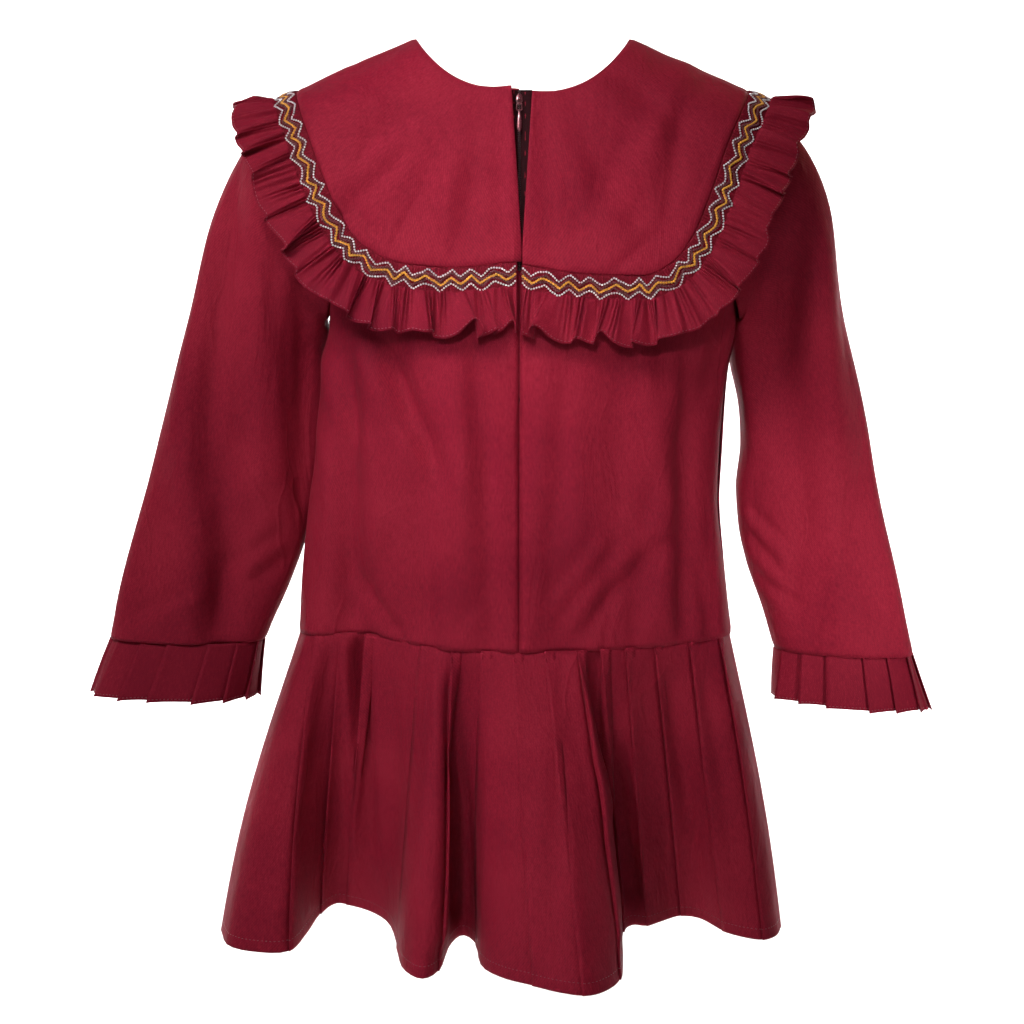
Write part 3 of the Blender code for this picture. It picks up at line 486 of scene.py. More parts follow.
class CollarEdge:
    """The collar's edge on one side and face, and the strips that run along it."""

    def __init__(self, side: Side, face: Face) -> None:
        """Keep the side and the face."""
        self.side = side
        self.face = face
        self.name = side.word

    def place(self, share: Array) -> tuple[Array, Array]:
        """The edge's (x, z) from the centre (share 0) to the shoulder ridge (share 1).

        Args:
            share: shares of the edge.

        Returns:
            The places.
        """
        x = COLLAR_EDGE.at(self.name + "_x", share)
        z = COLLAR_EDGE.at(self.name + "_z", share)
        if self.face > 0:
            ridge = COLLAR_EDGE.at(self.name + "_z", 1.0)
            z = ridge + (z - ridge) * FRONT_COLLAR_SHARE
            x = x - COLLAR_EDGE.at(self.name + "_x", 0.0) * (1.0 - share)
        return x, z

    def outward(self, share: Array) -> tuple[Array, Array]:
        """The direction in (x, z) that points out of the collar.

        Args:
            share: shares of the edge.

        Returns:
            The directions.
        """
        step = 0.01
        x0, z0 = self.place(np.clip(share - step, 0.0, 1.0))
        x1, z1 = self.place(np.clip(share + step, 0.0, 1.0))
        length = np.hypot(x1 - x0, z1 - z0)
        settle = np.clip(share / CENTRE_BLEND, 0.0, 1.0)
        out_x = self.side * (z1 - z0) / length * settle
        out_z = -self.side * (x1 - x0) / length * settle - (1.0 - settle)
        length = np.hypot(out_x, out_z)
        out_x, out_z = out_x / length, out_z / length
        ridge_z = float(COLLAR_EDGE.at(self.name + "_z", 1.0))
        below = 0.006
        run = (COLLAR_FORM.half_width(self.side, ridge_z - below)
               - COLLAR_FORM.half_width(self.side, ridge_z)) / below
        slant = math.hypot(float(run), 1.0)
        turn = np.clip((share - 1.0) / RIDGE_BLEND + 1.0, 0.0, 1.0)
        out_x = out_x + (self.side * run / slant - out_x) * turn
        out_z = out_z + (-1.0 / slant - out_z) * turn
        length = np.hypot(out_x, out_z)
        return out_x / length, out_z / length

    def points(self, share: Array, distance: Array, lift: Array) -> Array:
        """Points on the collar's form at a distance outside its edge.

        Args:
            share: shares of the edge.
            distance: the distance outside the edge.
            lift: how far they are lifted.

        Returns:
            The points.
        """
        x, z = self.place(share)
        out_x, out_z = self.outward(share)
        x = x + out_x * distance
        z = z + out_z * distance
        reach = COLLAR_FORM.half_width(self.side, z)
        x = self.side * np.where(share >= 1.0, reach, np.minimum(self.side * x, reach))
        return COLLAR_FORM.lay(self.face, x, z, lift)

    def run(self, distance: float) -> tuple[Array, Array]:
        """Shares along the strip and the length reached at each.

        Args:
            distance: the distance outside the edge.

        Returns:
            The shares and the lengths.
        """
        shares = np.sin(np.linspace(0.0, math.pi / 2, 500))
        line = self.points(shares, np.full_like(shares, distance), np.zeros_like(shares))
        steps = np.linalg.norm(np.diff(line, axis=0), axis=1)
        return shares, np.concatenate([[0.0], np.cumsum(steps)])

    def even_shares(self, count: int, distance: float) -> tuple[Array, Array]:
        """Shares that part the strip into equal lengths, and the length at each."""
        shares, run = self.run(distance)
        lengths = np.linspace(0.0, run[-1], count + 1)
        return np.interp(lengths, run, shares), lengths

    def trim(self, grid: Array) -> Array:
        """Keep a strip on its own side of the slit at the back and of the shoulder ridge.

        Args:
            grid: points in rows and columns.

        Returns:
            The trimmed grid.
        """
        if self.face < 0:
            clear = np.maximum(self.side * (grid[..., 0] - SPLIT_X), SPLIT_BOTTOM / 2.0)
            grid[..., 0] = SPLIT_X + self.side * clear
        grid[..., 1] = self.face * np.maximum(self.face * grid[..., 1], SEAM / 2)
        grid[:, -1, 1] = self.face * SEAM / 2
        return grid


def join_halves(left: Array, right: Array) -> Array:
    """Run a grid on from the left half, through the centre, to the right half."""
    return np.concatenate([left[:, ::-1], right[:, 1:]], axis=1)


def collar_parts(half: Callable[[CollarEdge], Array]) -> list[tuple[str, list[CollarEdge], Array]]:
    """Lay out what runs around the collar: two halves at the back and one joined length in front.

    Args:
        half: makes the grid of one half from its edge.

    Returns:
        For each part, how its name ends, its edges and its grid.
    """
    parts = []
    for side in Side:
        edge = CollarEdge(side, Face.BACK)
        parts.append((f"back_{side.word}", [edge], half(edge)))
    fronts = [CollarEdge(side, Face.FRONT) for side in Side]
    parts.append(("front", fronts, join_halves(*map(half, fronts))))
    return parts


def add_object(name: str, mesh: bpy.types.Mesh) -> bpy.types.Object:
    """Put a mesh in the scene, smoothly shaded.

    Args:
        name: its name.
        mesh: its mesh.

    Returns:
        The object.
    """
    mesh.polygons.foreach_set("use_smooth", np.ones(len(mesh.polygons), dtype=bool))
    thing = bpy.data.objects.new(name, mesh)
    bpy.context.collection.objects.link(thing)
    return thing


def dress(thing: bpy.types.Object, finish: "Finish", body: str = BODY) -> bpy.types.Object:
    """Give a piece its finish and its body.

    Args:
        thing: the piece.
        finish: its finish.
        body: its body.

    Returns:
        The piece.
    """
    thing.data.materials.clear()
    thing.data.materials.append(finish.material())
    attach(thing, body)
    return thing


class Cloth:
    """Meshes for cloth, made from grids of points."""

    @staticmethod
    def lengths(grid: Array, axis: int) -> Array:
        """Lengths along an axis of a grid, measured along the cloth."""
        steps = np.linalg.norm(np.diff(grid, axis=axis), axis=-1)
        start = np.zeros_like(steps.take([0], axis=axis))
        return np.concatenate([start, np.cumsum(steps, axis=axis)], axis=axis)

    @staticmethod
    def flat_size(grid: Array, around: bool = False) -> tuple[float, float, float]:
        """The flat width, length and area of a grid of cloth.

        Args:
            grid: points in rows and columns.
            around: whether the last column joins the first.

        Returns:
            The longest row, the longest column and the area, in metres.
        """
        if around:
            grid = np.concatenate([grid, grid[:, :1]], axis=1)
        a, b = grid[1:, :-1] - grid[:-1, :-1], grid[:-1, 1:] - grid[:-1, :-1]
        c, d = grid[1:, :-1] - grid[1:, 1:], grid[:-1, 1:] - grid[1:, 1:]
        area = (np.linalg.norm(np.cross(a, b), axis=-1) + np.linalg.norm(np.cross(c, d), axis=-1)).sum() / 2
        width = float(Cloth.lengths(grid, 1)[:, -1].max())
        length = float(Cloth.lengths(grid, 0)[-1].max())
        return width, length, float(min(area, width * length))

    @staticmethod
    def build(name: str, grid: Array, finish: "Finish", thickness: float = CLOTH,
              around: bool = False) -> bpy.types.Object:
        """Make a thin shell from a grid of points, with its UV map in metres along the cloth.

        Args:
            name: the piece's name.
            grid: points (rows, columns, 3) on its outer side.
            finish: the finish it is dressed in.
            thickness: the cloth's thickness, added inwards.
            around: whether the last column joins the first.

        Returns:
            The new object.
        """
        rows, columns = grid.shape[:2]
        index = np.arange(rows * columns).reshape(rows, columns)
        nexts = np.roll(index, -1, axis=1) if around else index[:, 1:]
        here = index if around else index[:, :-1]
        faces = np.stack([here[:-1], here[1:], nexts[1:], nexts[:-1]], axis=-1).reshape(-1, 4)
        flat = grid.reshape(-1, 3)
        corner = flat[faces]
        normal = np.cross(corner[:, 2] - corner[:, 0], corner[:, 3] - corner[:, 1])
        outward = Cloth.from_middle(grid, around).reshape(-1, 3)[faces].mean(axis=1)
        if np.sum(normal * outward) < 0.0:
            faces = faces[:, ::-1]
        mesh = bpy.data.meshes.new(name)
        mesh.vertices.add(len(flat))
        mesh.vertices.foreach_set("co", flat.astype(np.float32).ravel())
        mesh.loops.add(faces.size)
        mesh.loops.foreach_set("vertex_index", faces.astype(np.int32).ravel())
        mesh.polygons.add(len(faces))
        mesh.polygons.foreach_set("loop_start", np.arange(0, faces.size, 4, dtype=np.int32))
        mesh.update(calc_edges=True)
        closed = np.concatenate([grid, grid[:, :1]], axis=1) if around else grid
        u = Cloth.lengths(closed, 1)[rows // 2]
        v = Cloth.lengths(grid, 0).mean(axis=1)
        column, row = faces % columns, faces // columns
        wraps = (column.max(axis=1) - column.min(axis=1) > columns // 2)[:, None]
        column = np.where(wraps & (column == 0), columns, column)
        layer = mesh.uv_layers.new(name="cloth")
        layer.data.foreach_set("uv", np.stack([u[np.minimum(column, len(u) - 1)], v[row]], axis=-1)
                               .astype(np.float32).ravel())
        thing = add_object(name, mesh)
        shell = thing.modifiers.new("thickness", "SOLIDIFY")
        shell.thickness = thickness
        shell.offset = -1.0
        shell.use_rim = True
        return dress(thing, finish)

    @staticmethod
    def panel(node: str, grid: Array, finish: "Finish", held: Held, thickness: float = CLOTH,
              around: bool = False, **declared: object) -> bpy.types.Object:
        """Make the cloth that replaces a CAD node, and hide the node.

        Args:
            node: the CAD node.
            grid: points on the cloth's outer side.
            finish: the finish it is dressed in.
            held: how it is held; not used.
            thickness: the cloth's thickness.
            around: whether the last column joins the first.
            declared: what else is said of the sheet; not used.

        Returns:
            The new piece.
        """
        piece = Cloth.build(f"cloth_{node}", grid, finish, thickness, around)
        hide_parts(node)
        Cloth.declare(piece, grid, held, around, **declared)
        return piece

    @staticmethod
    def declare(piece: bpy.types.Object, grid: Array, held: Held, around: bool = False,
                **declared: object) -> None:
        """Measure a piece's flat width, length and area from its grid; the measures are not kept."""
        width, length, area = Cloth.flat_size(grid, around)

    @staticmethod
    def normals(grid: Array, around: bool = False) -> Array:
        """Outward directions at a grid's points.

        Args:
            grid: points in rows and columns.
            around: whether the last column joins the first.

        Returns:
            The directions.
        """
        if around:
            along = np.roll(grid, -1, axis=1) - np.roll(grid, 1, axis=1)
        else:
            along = np.gradient(grid, axis=1)
        normal = unit(np.cross(np.gradient(grid, axis=0), along))
        return normal * np.sign(np.sum(normal * Cloth.from_middle(grid, around), axis=-1).mean())

    @staticmethod
    def from_middle(grid: Array, around: bool) -> Array:
        """Ways to a grid's points from the middle of a tube, or from the dress's axis for a panel."""
        middle = grid.mean(axis=1, keepdims=True)
        return grid - (middle if around else middle * np.array([0.0, 0.0, 1.0]))


class Beads:
    """Small stitches, each a low-poly grain laid on the cloth."""

    SIDES = 5
    RINGS = ((-0.6, 0.8), (0.0, 1.0), (0.6, 0.8))

    @staticmethod
    def build(name: str, places: Array, alongs: Array, outs: Array, size: tuple[float, float, float],
              finish: "Finish") -> bpy.types.Object:
        """Make one mesh of many grains.

        Args:
            name: the piece's name.
            places: the grains' centres.
            alongs: their long directions.
            outs: the directions out of the cloth.
            size: half length, half width and half height.
            finish: the finish they are dressed in.

        Returns:
            The new object.
        """
        across = unit(np.cross(alongs, outs))
        turn = np.linspace(0.0, 2.0 * math.pi, Beads.SIDES, endpoint=False)
        local, faces = [], []
        for along, radius in Beads.RINGS:
            local += [(along, radius * math.cos(a), radius * math.sin(a)) for a in turn]
        local += [(-1.0, 0.0, 0.0), (1.0, 0.0, 0.0)]
        low, high = len(local) - 2, len(local) - 1
        rings = len(Beads.RINGS)
        for j in range(Beads.SIDES):
            k = (j + 1) % Beads.SIDES
            faces.append((low, k, j))
            faces += [(r * Beads.SIDES + j, r * Beads.SIDES + k, (r + 1) * Beads.SIDES + k,
                       (r + 1) * Beads.SIDES + j) for r in range(rings - 1)]
            faces.append((high, (rings - 1) * Beads.SIDES + j, (rings - 1) * Beads.SIDES + k))
        grain = np.array(local) * np.array(size)
        points = (places[:, None] + alongs[:, None] * grain[None, :, :1]
                  + across[:, None] * grain[None, :, 1:2] + outs[:, None] * grain[None, :, 2:])
        count = len(local)
        all_faces = [tuple(v + i * count for v in face) for i in range(len(places)) for face in faces]
        mesh = bpy.data.meshes.new(name)
        mesh.from_pydata(points.reshape(-1, 3).tolist(), [], all_faces)
        shape = bmesh.new()
        shape.from_mesh(mesh)
        bmesh.ops.recalc_face_normals(shape, faces=shape.faces)
        shape.to_mesh(mesh)
        shape.free()
        return dress(add_object(name, mesh), finish)

    @staticmethod
    def along_line(line: Array, outs: Array, pitch: float) -> tuple[Array, Array, Array]:
        """Spread places evenly along a line.

        Args:
            line: points along the cloth.
            outs: outward directions there.
            pitch: the distance between places.

        Returns:
            The places, their long directions and their outward directions.
        """
        run = Cloth.lengths(line[None], 1)[0]
        at = np.arange(pitch / 2, run[-1], pitch)
        places = np.stack([np.interp(at, run, line[:, i]) for i in range(3)], axis=-1)
        ahead = np.stack([np.interp(at + pitch / 4, run, line[:, i]) for i in range(3)], axis=-1)
        behind = np.stack([np.interp(at - pitch / 4, run, line[:, i]) for i in range(3)], axis=-1)
        out = unit(np.stack([np.interp(at, run, outs[:, i]) for i in range(3)], axis=-1))
        return places, unit(ahead - behind), out


class Nodes:
    """A short way to build a material's node tree."""

    def __init__(self, name: str) -> None:
        """Start a material with its Principled shader.

        Args:
            name: the material's name.
        """
        self.data = bpy.data.materials.new(name)
        self.data.use_nodes = True
        self.tree = self.data.node_tree
        self.shader = self.tree.nodes["Principled BSDF"]

    def fill(self, node: bpy.types.Node, inputs: dict[str | int, object]) -> None:
        """Set or link a node's inputs.

        Args:
            node: the node.
            inputs: values or sockets, by input.
        """
        for key, value in inputs.items():
            if isinstance(value, bpy.types.NodeSocket):
                self.tree.links.new(value, node.inputs[key])
            else:
                node.inputs[key].default_value = value

    def add(self, kind: str, inputs: dict[str | int, object] | None = None,
            **settings: object) -> bpy.types.Node:
        """Add a node, set its properties, and set or link its inputs.

        Args:
            kind: the node's type.
            inputs: values or sockets, by input.
            settings: its properties.

        Returns:
            The node.
        """
        node = self.tree.nodes.new(kind)
        for key, value in settings.items():
            setattr(node, key, value)
        self.fill(node, inputs or {})
        return node

    def math(self, operation: str, a: object, b: object = 0.0) -> bpy.types.NodeSocket:
        """The result of a math node."""
        return self.add("ShaderNodeMath", {0: a, 1: b}, operation=operation).outputs[0]

    def noise(self, place: bpy.types.NodeSocket, scale: float, detail: float, output: int = 0,
              **more: float) -> bpy.types.NodeSocket:
        """Noise at a place; more are inputs by their names in small letters."""
        inputs = {"Vector": place, "Scale": scale, "Detail": detail}
        inputs.update({key.capitalize(): value for key, value in more.items()})
        return self.add("ShaderNodeTexNoise", inputs).outputs[output]

    def mapped(self, place: bpy.types.NodeSocket, scale: Sequence[float],
               rotation: Sequence[float] = (0.0, 0.0, 0.0)) -> bpy.types.NodeSocket:
        """A place turned and scaled."""
        inputs = {"Vector": place, "Rotation": rotation, "Scale": scale}
        return self.add("ShaderNodeMapping", inputs).outputs[0]

    def spread(self, value: bpy.types.NodeSocket, low: float, high: float, to_low: float = 0.0,
               to_high: float = 1.0) -> bpy.types.NodeSocket:
        """A value's range, low to high, spread over another."""
        return self.add("ShaderNodeMapRange", {"Value": value, "From Min": low, "From Max": high,
                                               "To Min": to_low, "To Max": to_high}).outputs[0]

    def bump(self, height: bpy.types.NodeSocket, strength: float, distance: float,
             under: bpy.types.NodeSocket | None = None) -> bpy.types.NodeSocket:
        """Normals bumped by a height, over those of a bump under it.

        Args:
            height: the height.
            strength: how strongly it shows.
            distance: how deep it seems.
            under: the normals under it.

        Returns:
            The normals.
        """
        inputs = {"Height": height, "Strength": strength, "Distance": distance}
        if under:
            inputs["Normal"] = under
        return self.add("ShaderNodeBump", inputs).outputs[0]

    def ramp(self, value: bpy.types.NodeSocket, *stops: tuple[float, Colour]) -> bpy.types.NodeSocket:
        """A value's colour on a ramp through stops (position, colour).

        Args:
            value: the value.
            stops: (position, colour) of each stop.

        Returns:
            The colour.
        """
        node = self.add("ShaderNodeValToRGB", {"Fac": value})
        elements = node.color_ramp.elements
        for element, (position, colour) in zip(elements, (stops[0], stops[-1])):
            element.position, element.color = position, (*colour, 1.0)
        for position, colour in stops[1:-1]:
            elements.new(position).color = (*colour, 1.0)
        return node.outputs["Color"]

    def shade(self, inputs: dict[str | int, object]) -> bpy.types.Material:
        """Set or link the shader's inputs and hand over the material."""
        self.fill(self.shader, inputs)
        return self.data


@dataclass
class Finish:
    """A finish and the record's slot that it belongs to."""

    name: str
    slot: str
    _made: bpy.types.Material | None = None

    def material(self) -> bpy.types.Material:
        """The finish's material, made once."""
        if self._made is None:
            self._made = self.make(Nodes(self.name))
        return self._made

    def make(self, nodes: Nodes) -> bpy.types.Material:
        """Build the node tree."""
        raise NotImplementedError


@dataclass
class CottonFinish(Finish):
    """Woven cotton: threads along the cloth's own UV map, slubs, soft wrinkles and a slight sheen."""

    colour: Colour = (0.262, 0.0095, 0.0265)
    light: Colour = (0.350, 0.0185, 0.0400)
    dark: Colour = (0.175, 0.0045, 0.0185)
    thread: float = 0.00150
    wrinkle: float = 0.0052
    roughness: float = 0.72
    sheen: float = 0.02

    def make(self, nodes: Nodes) -> bpy.types.Material:
        """Build the node tree.

        Args:
            nodes: the material to fill.

        Returns:
            The material.
        """
        uv = nodes.add("ShaderNodeUVMap", uv_map="cloth").outputs["UV"]
        axes = nodes.add("ShaderNodeSeparateXYZ", {0: uv}).outputs
        turn = 2.0 * math.pi / self.thread
        across, along = nodes.math("MULTIPLY", axes[0], turn), nodes.math("MULTIPLY", axes[1], 0.6 * turn)
        weave = nodes.math("SINE", nodes.math("ADD", across, along))
        place = nodes.add("ShaderNodeTexCoord").outputs["Object"]
        slub = nodes.noise(nodes.mapped(uv, (1.0, 0.16, 1.0)), 950.0, 3.0)
        grain = nodes.noise(place, 800.0, 3.0)
        cloud = nodes.noise(place, 9.0, 3.0, distortion=0.5)
        upright = nodes.mapped(place, (1.5, 1.5, 0.6), (0.0, 0.18, 0.0))
        folds = nodes.noise(upright, 15.0, 6.0, roughness=0.52, distortion=1.2)
        fleck = nodes.math("ADD", nodes.math("ADD", slub, grain), nodes.math("MULTIPLY", weave, 0.14))
        mixed = nodes.math("ADD", nodes.math("MULTIPLY", cloud, 0.60), nodes.math("MULTIPLY", fleck, 0.50))
        colour = nodes.ramp(nodes.math("SUBTRACT", mixed, 0.20), (0.36, self.dark), (0.62, self.colour),
                            (0.90, self.light))
        swirl = nodes.noise(place, 12.0, 2.0, output=1)
        bent = nodes.add("ShaderNodeVectorMath", {0: swirl, 1: (0.06, 0.06, 0.06), 2: upright},
                         operation="MULTIPLY_ADD").outputs[0]
        cells = nodes.add("ShaderNodeTexVoronoi", {"Vector": bent, "Scale": 17.0},
                          feature="DISTANCE_TO_EDGE").outputs[0]
        pressed = nodes.math("MULTIPLY", nodes.spread(cells, 0.0, 0.05, 1.0, 0.0),
                             nodes.spread(cloud, 0.48, 0.62))
        lines = nodes.bump(pressed, 0.45, 0.22 * self.wrinkle)
        soft = nodes.bump(folds, 0.8, self.wrinkle, lines)
        fine = nodes.math("ADD", nodes.math("MULTIPLY", weave, 0.30), slub)
        return nodes.shade({
            "Base Color": colour,
            "Normal": nodes.bump(fine, 0.6, 0.00025, soft),
            "Roughness": nodes.spread(grain, 0.0, 1.0, self.roughness - 0.06, self.roughness + 0.08),
            "Sheen Weight": self.sheen,
            "Sheen Roughness": 0.45,
            "Sheen Tint": (1.0, 0.35, 0.42, 1.0),
            "Specular IOR Level": 0.10,
        })


@dataclass
class ThreadFinish(Finish):
    """Glossy twisted thread."""

    colour: Colour = (0.8, 0.8, 0.8)

    def make(self, nodes: Nodes) -> bpy.types.Material:
        """Build the node tree.

        Args:
            nodes: the material to fill.

        Returns:
            The material.
        """
        place = nodes.add("ShaderNodeTexCoord").outputs["Object"]
        tone = nodes.noise(place, 260.0, 1.0)
        return nodes.shade({
            "Base Color": nodes.ramp(tone, (0.3, tuple(c * 0.72 for c in self.colour)), (0.7, self.colour)),
            "Normal": nodes.bump(nodes.noise(place, 1500.0, 2.0), 0.5, 0.0002),
            "Roughness": 0.48,
            "Sheen Weight": 0.2,
        })


@dataclass
class EnamelFinish(Finish):
    """Painted metal of the zip, a little worn."""

    colour: Colour = (0.115, 0.012, 0.022)
    worn: Colour = (0.30, 0.05, 0.07)

    def make(self, nodes: Nodes) -> bpy.types.Material:
        """Build the node tree.

        Args:
            nodes: the material to fill.

        Returns:
            The material.
        """
        place = nodes.add("ShaderNodeTexCoord").outputs["Object"]
        wear = nodes.noise(place, 700.0, 4.0)
        return nodes.shade({
            "Base Color": nodes.ramp(wear, (0.50, self.colour), (0.75, self.worn)),
            "Normal": nodes.bump(wear, 0.2, 0.0001),
            "Metallic": 0.35,
            "Roughness": 0.34,
            "Coat Weight": 0.4,
        })


COTTON = CottonFinish("wine_cotton", "wine_cotton")
# Trim cotton a little darker than the body's cotton: painted shade for the occlusion in the fine folds of the
# ruffles and cuffs.
SHADED_TRIM = CottonFinish("wine_cotton_trim", "wine_cotton_trim", colour=(0.225, 0.0080, 0.0230), wrinkle=0.0012)
# Band cotton darker again: painted shade for the occlusion between the band's fine smocked gathers.
SHADED_BAND = CottonFinish("smocked_cotton_shaded", "wine_cotton_trim", colour=(0.165, 0.0050, 0.0150),
                    light=(0.24, 0.009, 0.024), dark=(0.09, 0.002, 0.008), wrinkle=0.0004)
# Near-black tape colour: painted shade for the dark inside the collar's slit, worn by the tape inside and by
# the sheet laid in the slit.
TAPE_AND_SLIT_SHADE = CottonFinish("zip_tape_weave", "zip_tape_weave", colour=(0.022, 0.0022, 0.0040),
                    light=(0.034, 0.0035, 0.006), dark=(0.014, 0.0015, 0.0026), wrinkle=0.0002)
WHITE_THREAD = ThreadFinish("white_thread", "wine_cotton_trim", colour=(0.86, 0.80, 0.84))
GOLD_THREAD = ThreadFinish("gold_thread", "wine_cotton_trim", colour=(0.90, 0.40, 0.030))
WINE_THREAD = ThreadFinish("wine_thread", "wine_cotton_trim", colour=(0.150, 0.0050, 0.0170))
SEWING_THREAD = ThreadFinish("sewing_thread", "wine_cotton_trim", colour=(0.26, 0.016, 0.036))
ENAMEL = EnamelFinish("zip_enamel", "zip_enamel")
TEETH = ThreadFinish("zip_teeth_nylon", "zip_tape_weave", colour=(0.040, 0.004, 0.008))


@dataclass
class Bodice:
    """The front in one panel and the back in two, with the armholes and the neckline cut out."""

    neck_columns: int = 32
    shoulder_columns: int = 40
    armhole_steps: int = 44
    body_rows: int = 54
    seam_depth: float = 0.0007
    gather_depth: float = 0.0005
    roll_depth: float = 0.0016
    pucker_depth: float = 0.00015
    allowance_height: float = 0.0007
    creases: tuple[Crease, ...] = (
        Crease(-114, -424, -108, -440, 3.0, 1.3),
        Crease(-105, -434, -101.5, -452, 2.4, 1.6),
        Crease(69, -440, 63, -463, 3.0, 1.7),
        Crease(72, -400, 60, -440, 7.0, 1.8),
        Crease(-150, -214, -128, -290, 9.0, 3.4),
        Crease(-158, -250, -140, -330, 6.0, 2.4),
        Crease(160, -214, 128, -300, 10.0, 3.2),
        Crease(-76, -232, -78, -300, 9.0, -2.6),
        Crease(-112, -214, -62, -314, 9.0, 6.5),
        Crease(-100, -250, -58, -340, 5.0, 1.6),
        Crease(-130, -225, -134, -424, 9.0, 5.5),
        Crease(-50, -265, -50, -445, 19.0, -6.0),
        Crease(104, -268, 106, -440, 18.0, -5.0),
        Crease(14, -262, 12, -440, 8.0, -2.0),
        Crease(-76, -330, -66, -455, 13.0, 3.0),
        Crease(-112, -320, -104, -430, 9.0, -2.2),
        Crease(-34, -215, -24, -330, 8.0, 4.0),
        Crease(-22, -215, -19, -300, 4.0, 1.0),
        Crease(-26, -320, -20, -440, 8.0, 2.2),
        Crease(34, -230, 32, -340, 7.0, 1.6),
        Crease(104, -200, 116, -320, 9.0, 2.8),
        Crease(126, -240, 128, -437, 8.0, 4.8),
        Crease(100, -330, 92, -440, 8.0, 2.0),
        Crease(110, -380, 44, -450, 7.0, 2.8),
        Crease(70, -388, 30, -440, 6.0, 2.2),
        Crease(52, -380, 26, -412, 5.0, 1.2),
        Crease(-135, -400, -92, -452, 6.0, 2.6),
        Crease(-96, -380, -132, -440, 5.0, 1.6),
        Crease(140, -400, 150, -455, 6.0, 2.0),
        Crease(-54, -400, -92, -446, 4.0, 1.2),
        Crease(-30, -420, -60, -455, 5.0, 1.3),
    )

    def half(self, side: Side, face: Face) -> tuple[Array, Array]:
        """Places (x, z) of one half of a panel.

        Args:
            side: the side.
            face: the face.

        Returns:
            Their x and z.
        """
        neck = float(TORSO.at(side.word, 0.0))
        edge_x, edge_z = armhole_edge(side, np.linspace(0.0, math.pi, self.armhole_steps + 1))
        neck_share = neck / abs(edge_x[0])
        quarter = np.linspace(0.0, math.pi / 2, self.neck_columns + 1)
        beyond = np.sin(np.linspace(0.0, math.pi / 2, self.shoulder_columns + 1)[1:])
        shares = np.concatenate([np.sin(quarter) * neck_share, neck_share + (1.0 - neck_share) * beyond])
        top_z = np.where(shares <= neck_share,
                         neckline_z(side, face, np.minimum(shares / neck_share, 1.0)),
                         SHOULDER_END_Z * (shares - neck_share) / (1.0 - neck_share))
        rows_x = [shares * x for x in edge_x]
        rows_z = [top_z + (edge_z[-1] - top_z) * (z - edge_z[0]) / (edge_z[-1] - edge_z[0]) for z in edge_z]
        waist = side * self.waist_half(side)
        for row in range(1, self.body_rows + 1):
            down = row / self.body_rows
            z = edge_z[-1] + (waist_z(shares * waist) - edge_z[-1]) * down
            rows_x.append(shares * side * BODICE_FORM.half_width(side * np.ones_like(z), z))
            rows_z.append(z)
        return np.array(rows_x), np.array(rows_z)

    @staticmethod
    def waist_half(side: Side) -> float:
        """Half the waist's width on one side."""
        return float(TORSO.at(side.word, WAIST_Z))

    def lift(self, face: Face, x: Array, z: Array) -> Array:
        """How far the cloth stands off its form: seams sunk in, soft folds, creases.

        Args:
            face: the face.
            x: places across.
            z: heights.

        Returns:
            The heights.
        """
        waist_seam = -self.seam_depth * bump(z, waist_z(x) - 0.0004, 0.0018)
        near_waist = np.clip((z + 0.40) / -0.06, 0.0, 1.0) * (1.0 - 0.8 * bump(z, waist_z(x), 0.006))
        gathers = self.gather_depth * near_waist**2 * np.sin(ripple(x, 0.019, ((0.2, 0.083, 0.4),)))
        below_chest = np.clip((z + 0.18) / -0.1, 0.0, 1.0)
        rolls = self.roll_depth * np.sin(ripple(x + 0.12 * z, 0.078, ((0.12, 0.21, 1.0),))) * below_chest
        height = waist_seam + gathers + rolls
        if face < 0:
            pucker = self.pucker_depth * np.sin(ripple(z, 0.011, ((0.25, 0.047, 0.3),)))
            height = height - self.seam_depth * bump(x, 0.0, 0.0011) + bump(x, 0.0, 0.007) * pucker
            height = height + self.allowance_height * bump(np.abs(x), 0.0046, 0.0030)
            return height + relief(self.creases, x, z)
        return height + relief(self.creases, -x, z)

    def build(self) -> list[bpy.types.Object]:
        """Make the three panels.

        Returns:
            The panels.
        """
        pieces = []
        for side in Side:
            x, z = self.half(side, Face.BACK)
            x = side * np.maximum(side * x, 0.3 * SEAM)
            grid = BODICE_FORM.lay(Face.BACK, x, z, self.lift(Face.BACK, x, z))
            grid[:, 0, 0] = x[:, 0]
            pieces.append(Cloth.panel(f"bodice_back_{side.word}", grid, COTTON, Held.HUNG))
        left, right = (np.stack(self.half(side, Face.FRONT), axis=-1) for side in Side)
        x, z = np.moveaxis(join_halves(left, right), -1, 0)
        grid = BODICE_FORM.lay(Face.FRONT, x, z, self.lift(Face.FRONT, x, z))
        return [*pieces, Cloth.panel("bodice_front", grid, COTTON, Held.HUNG)]


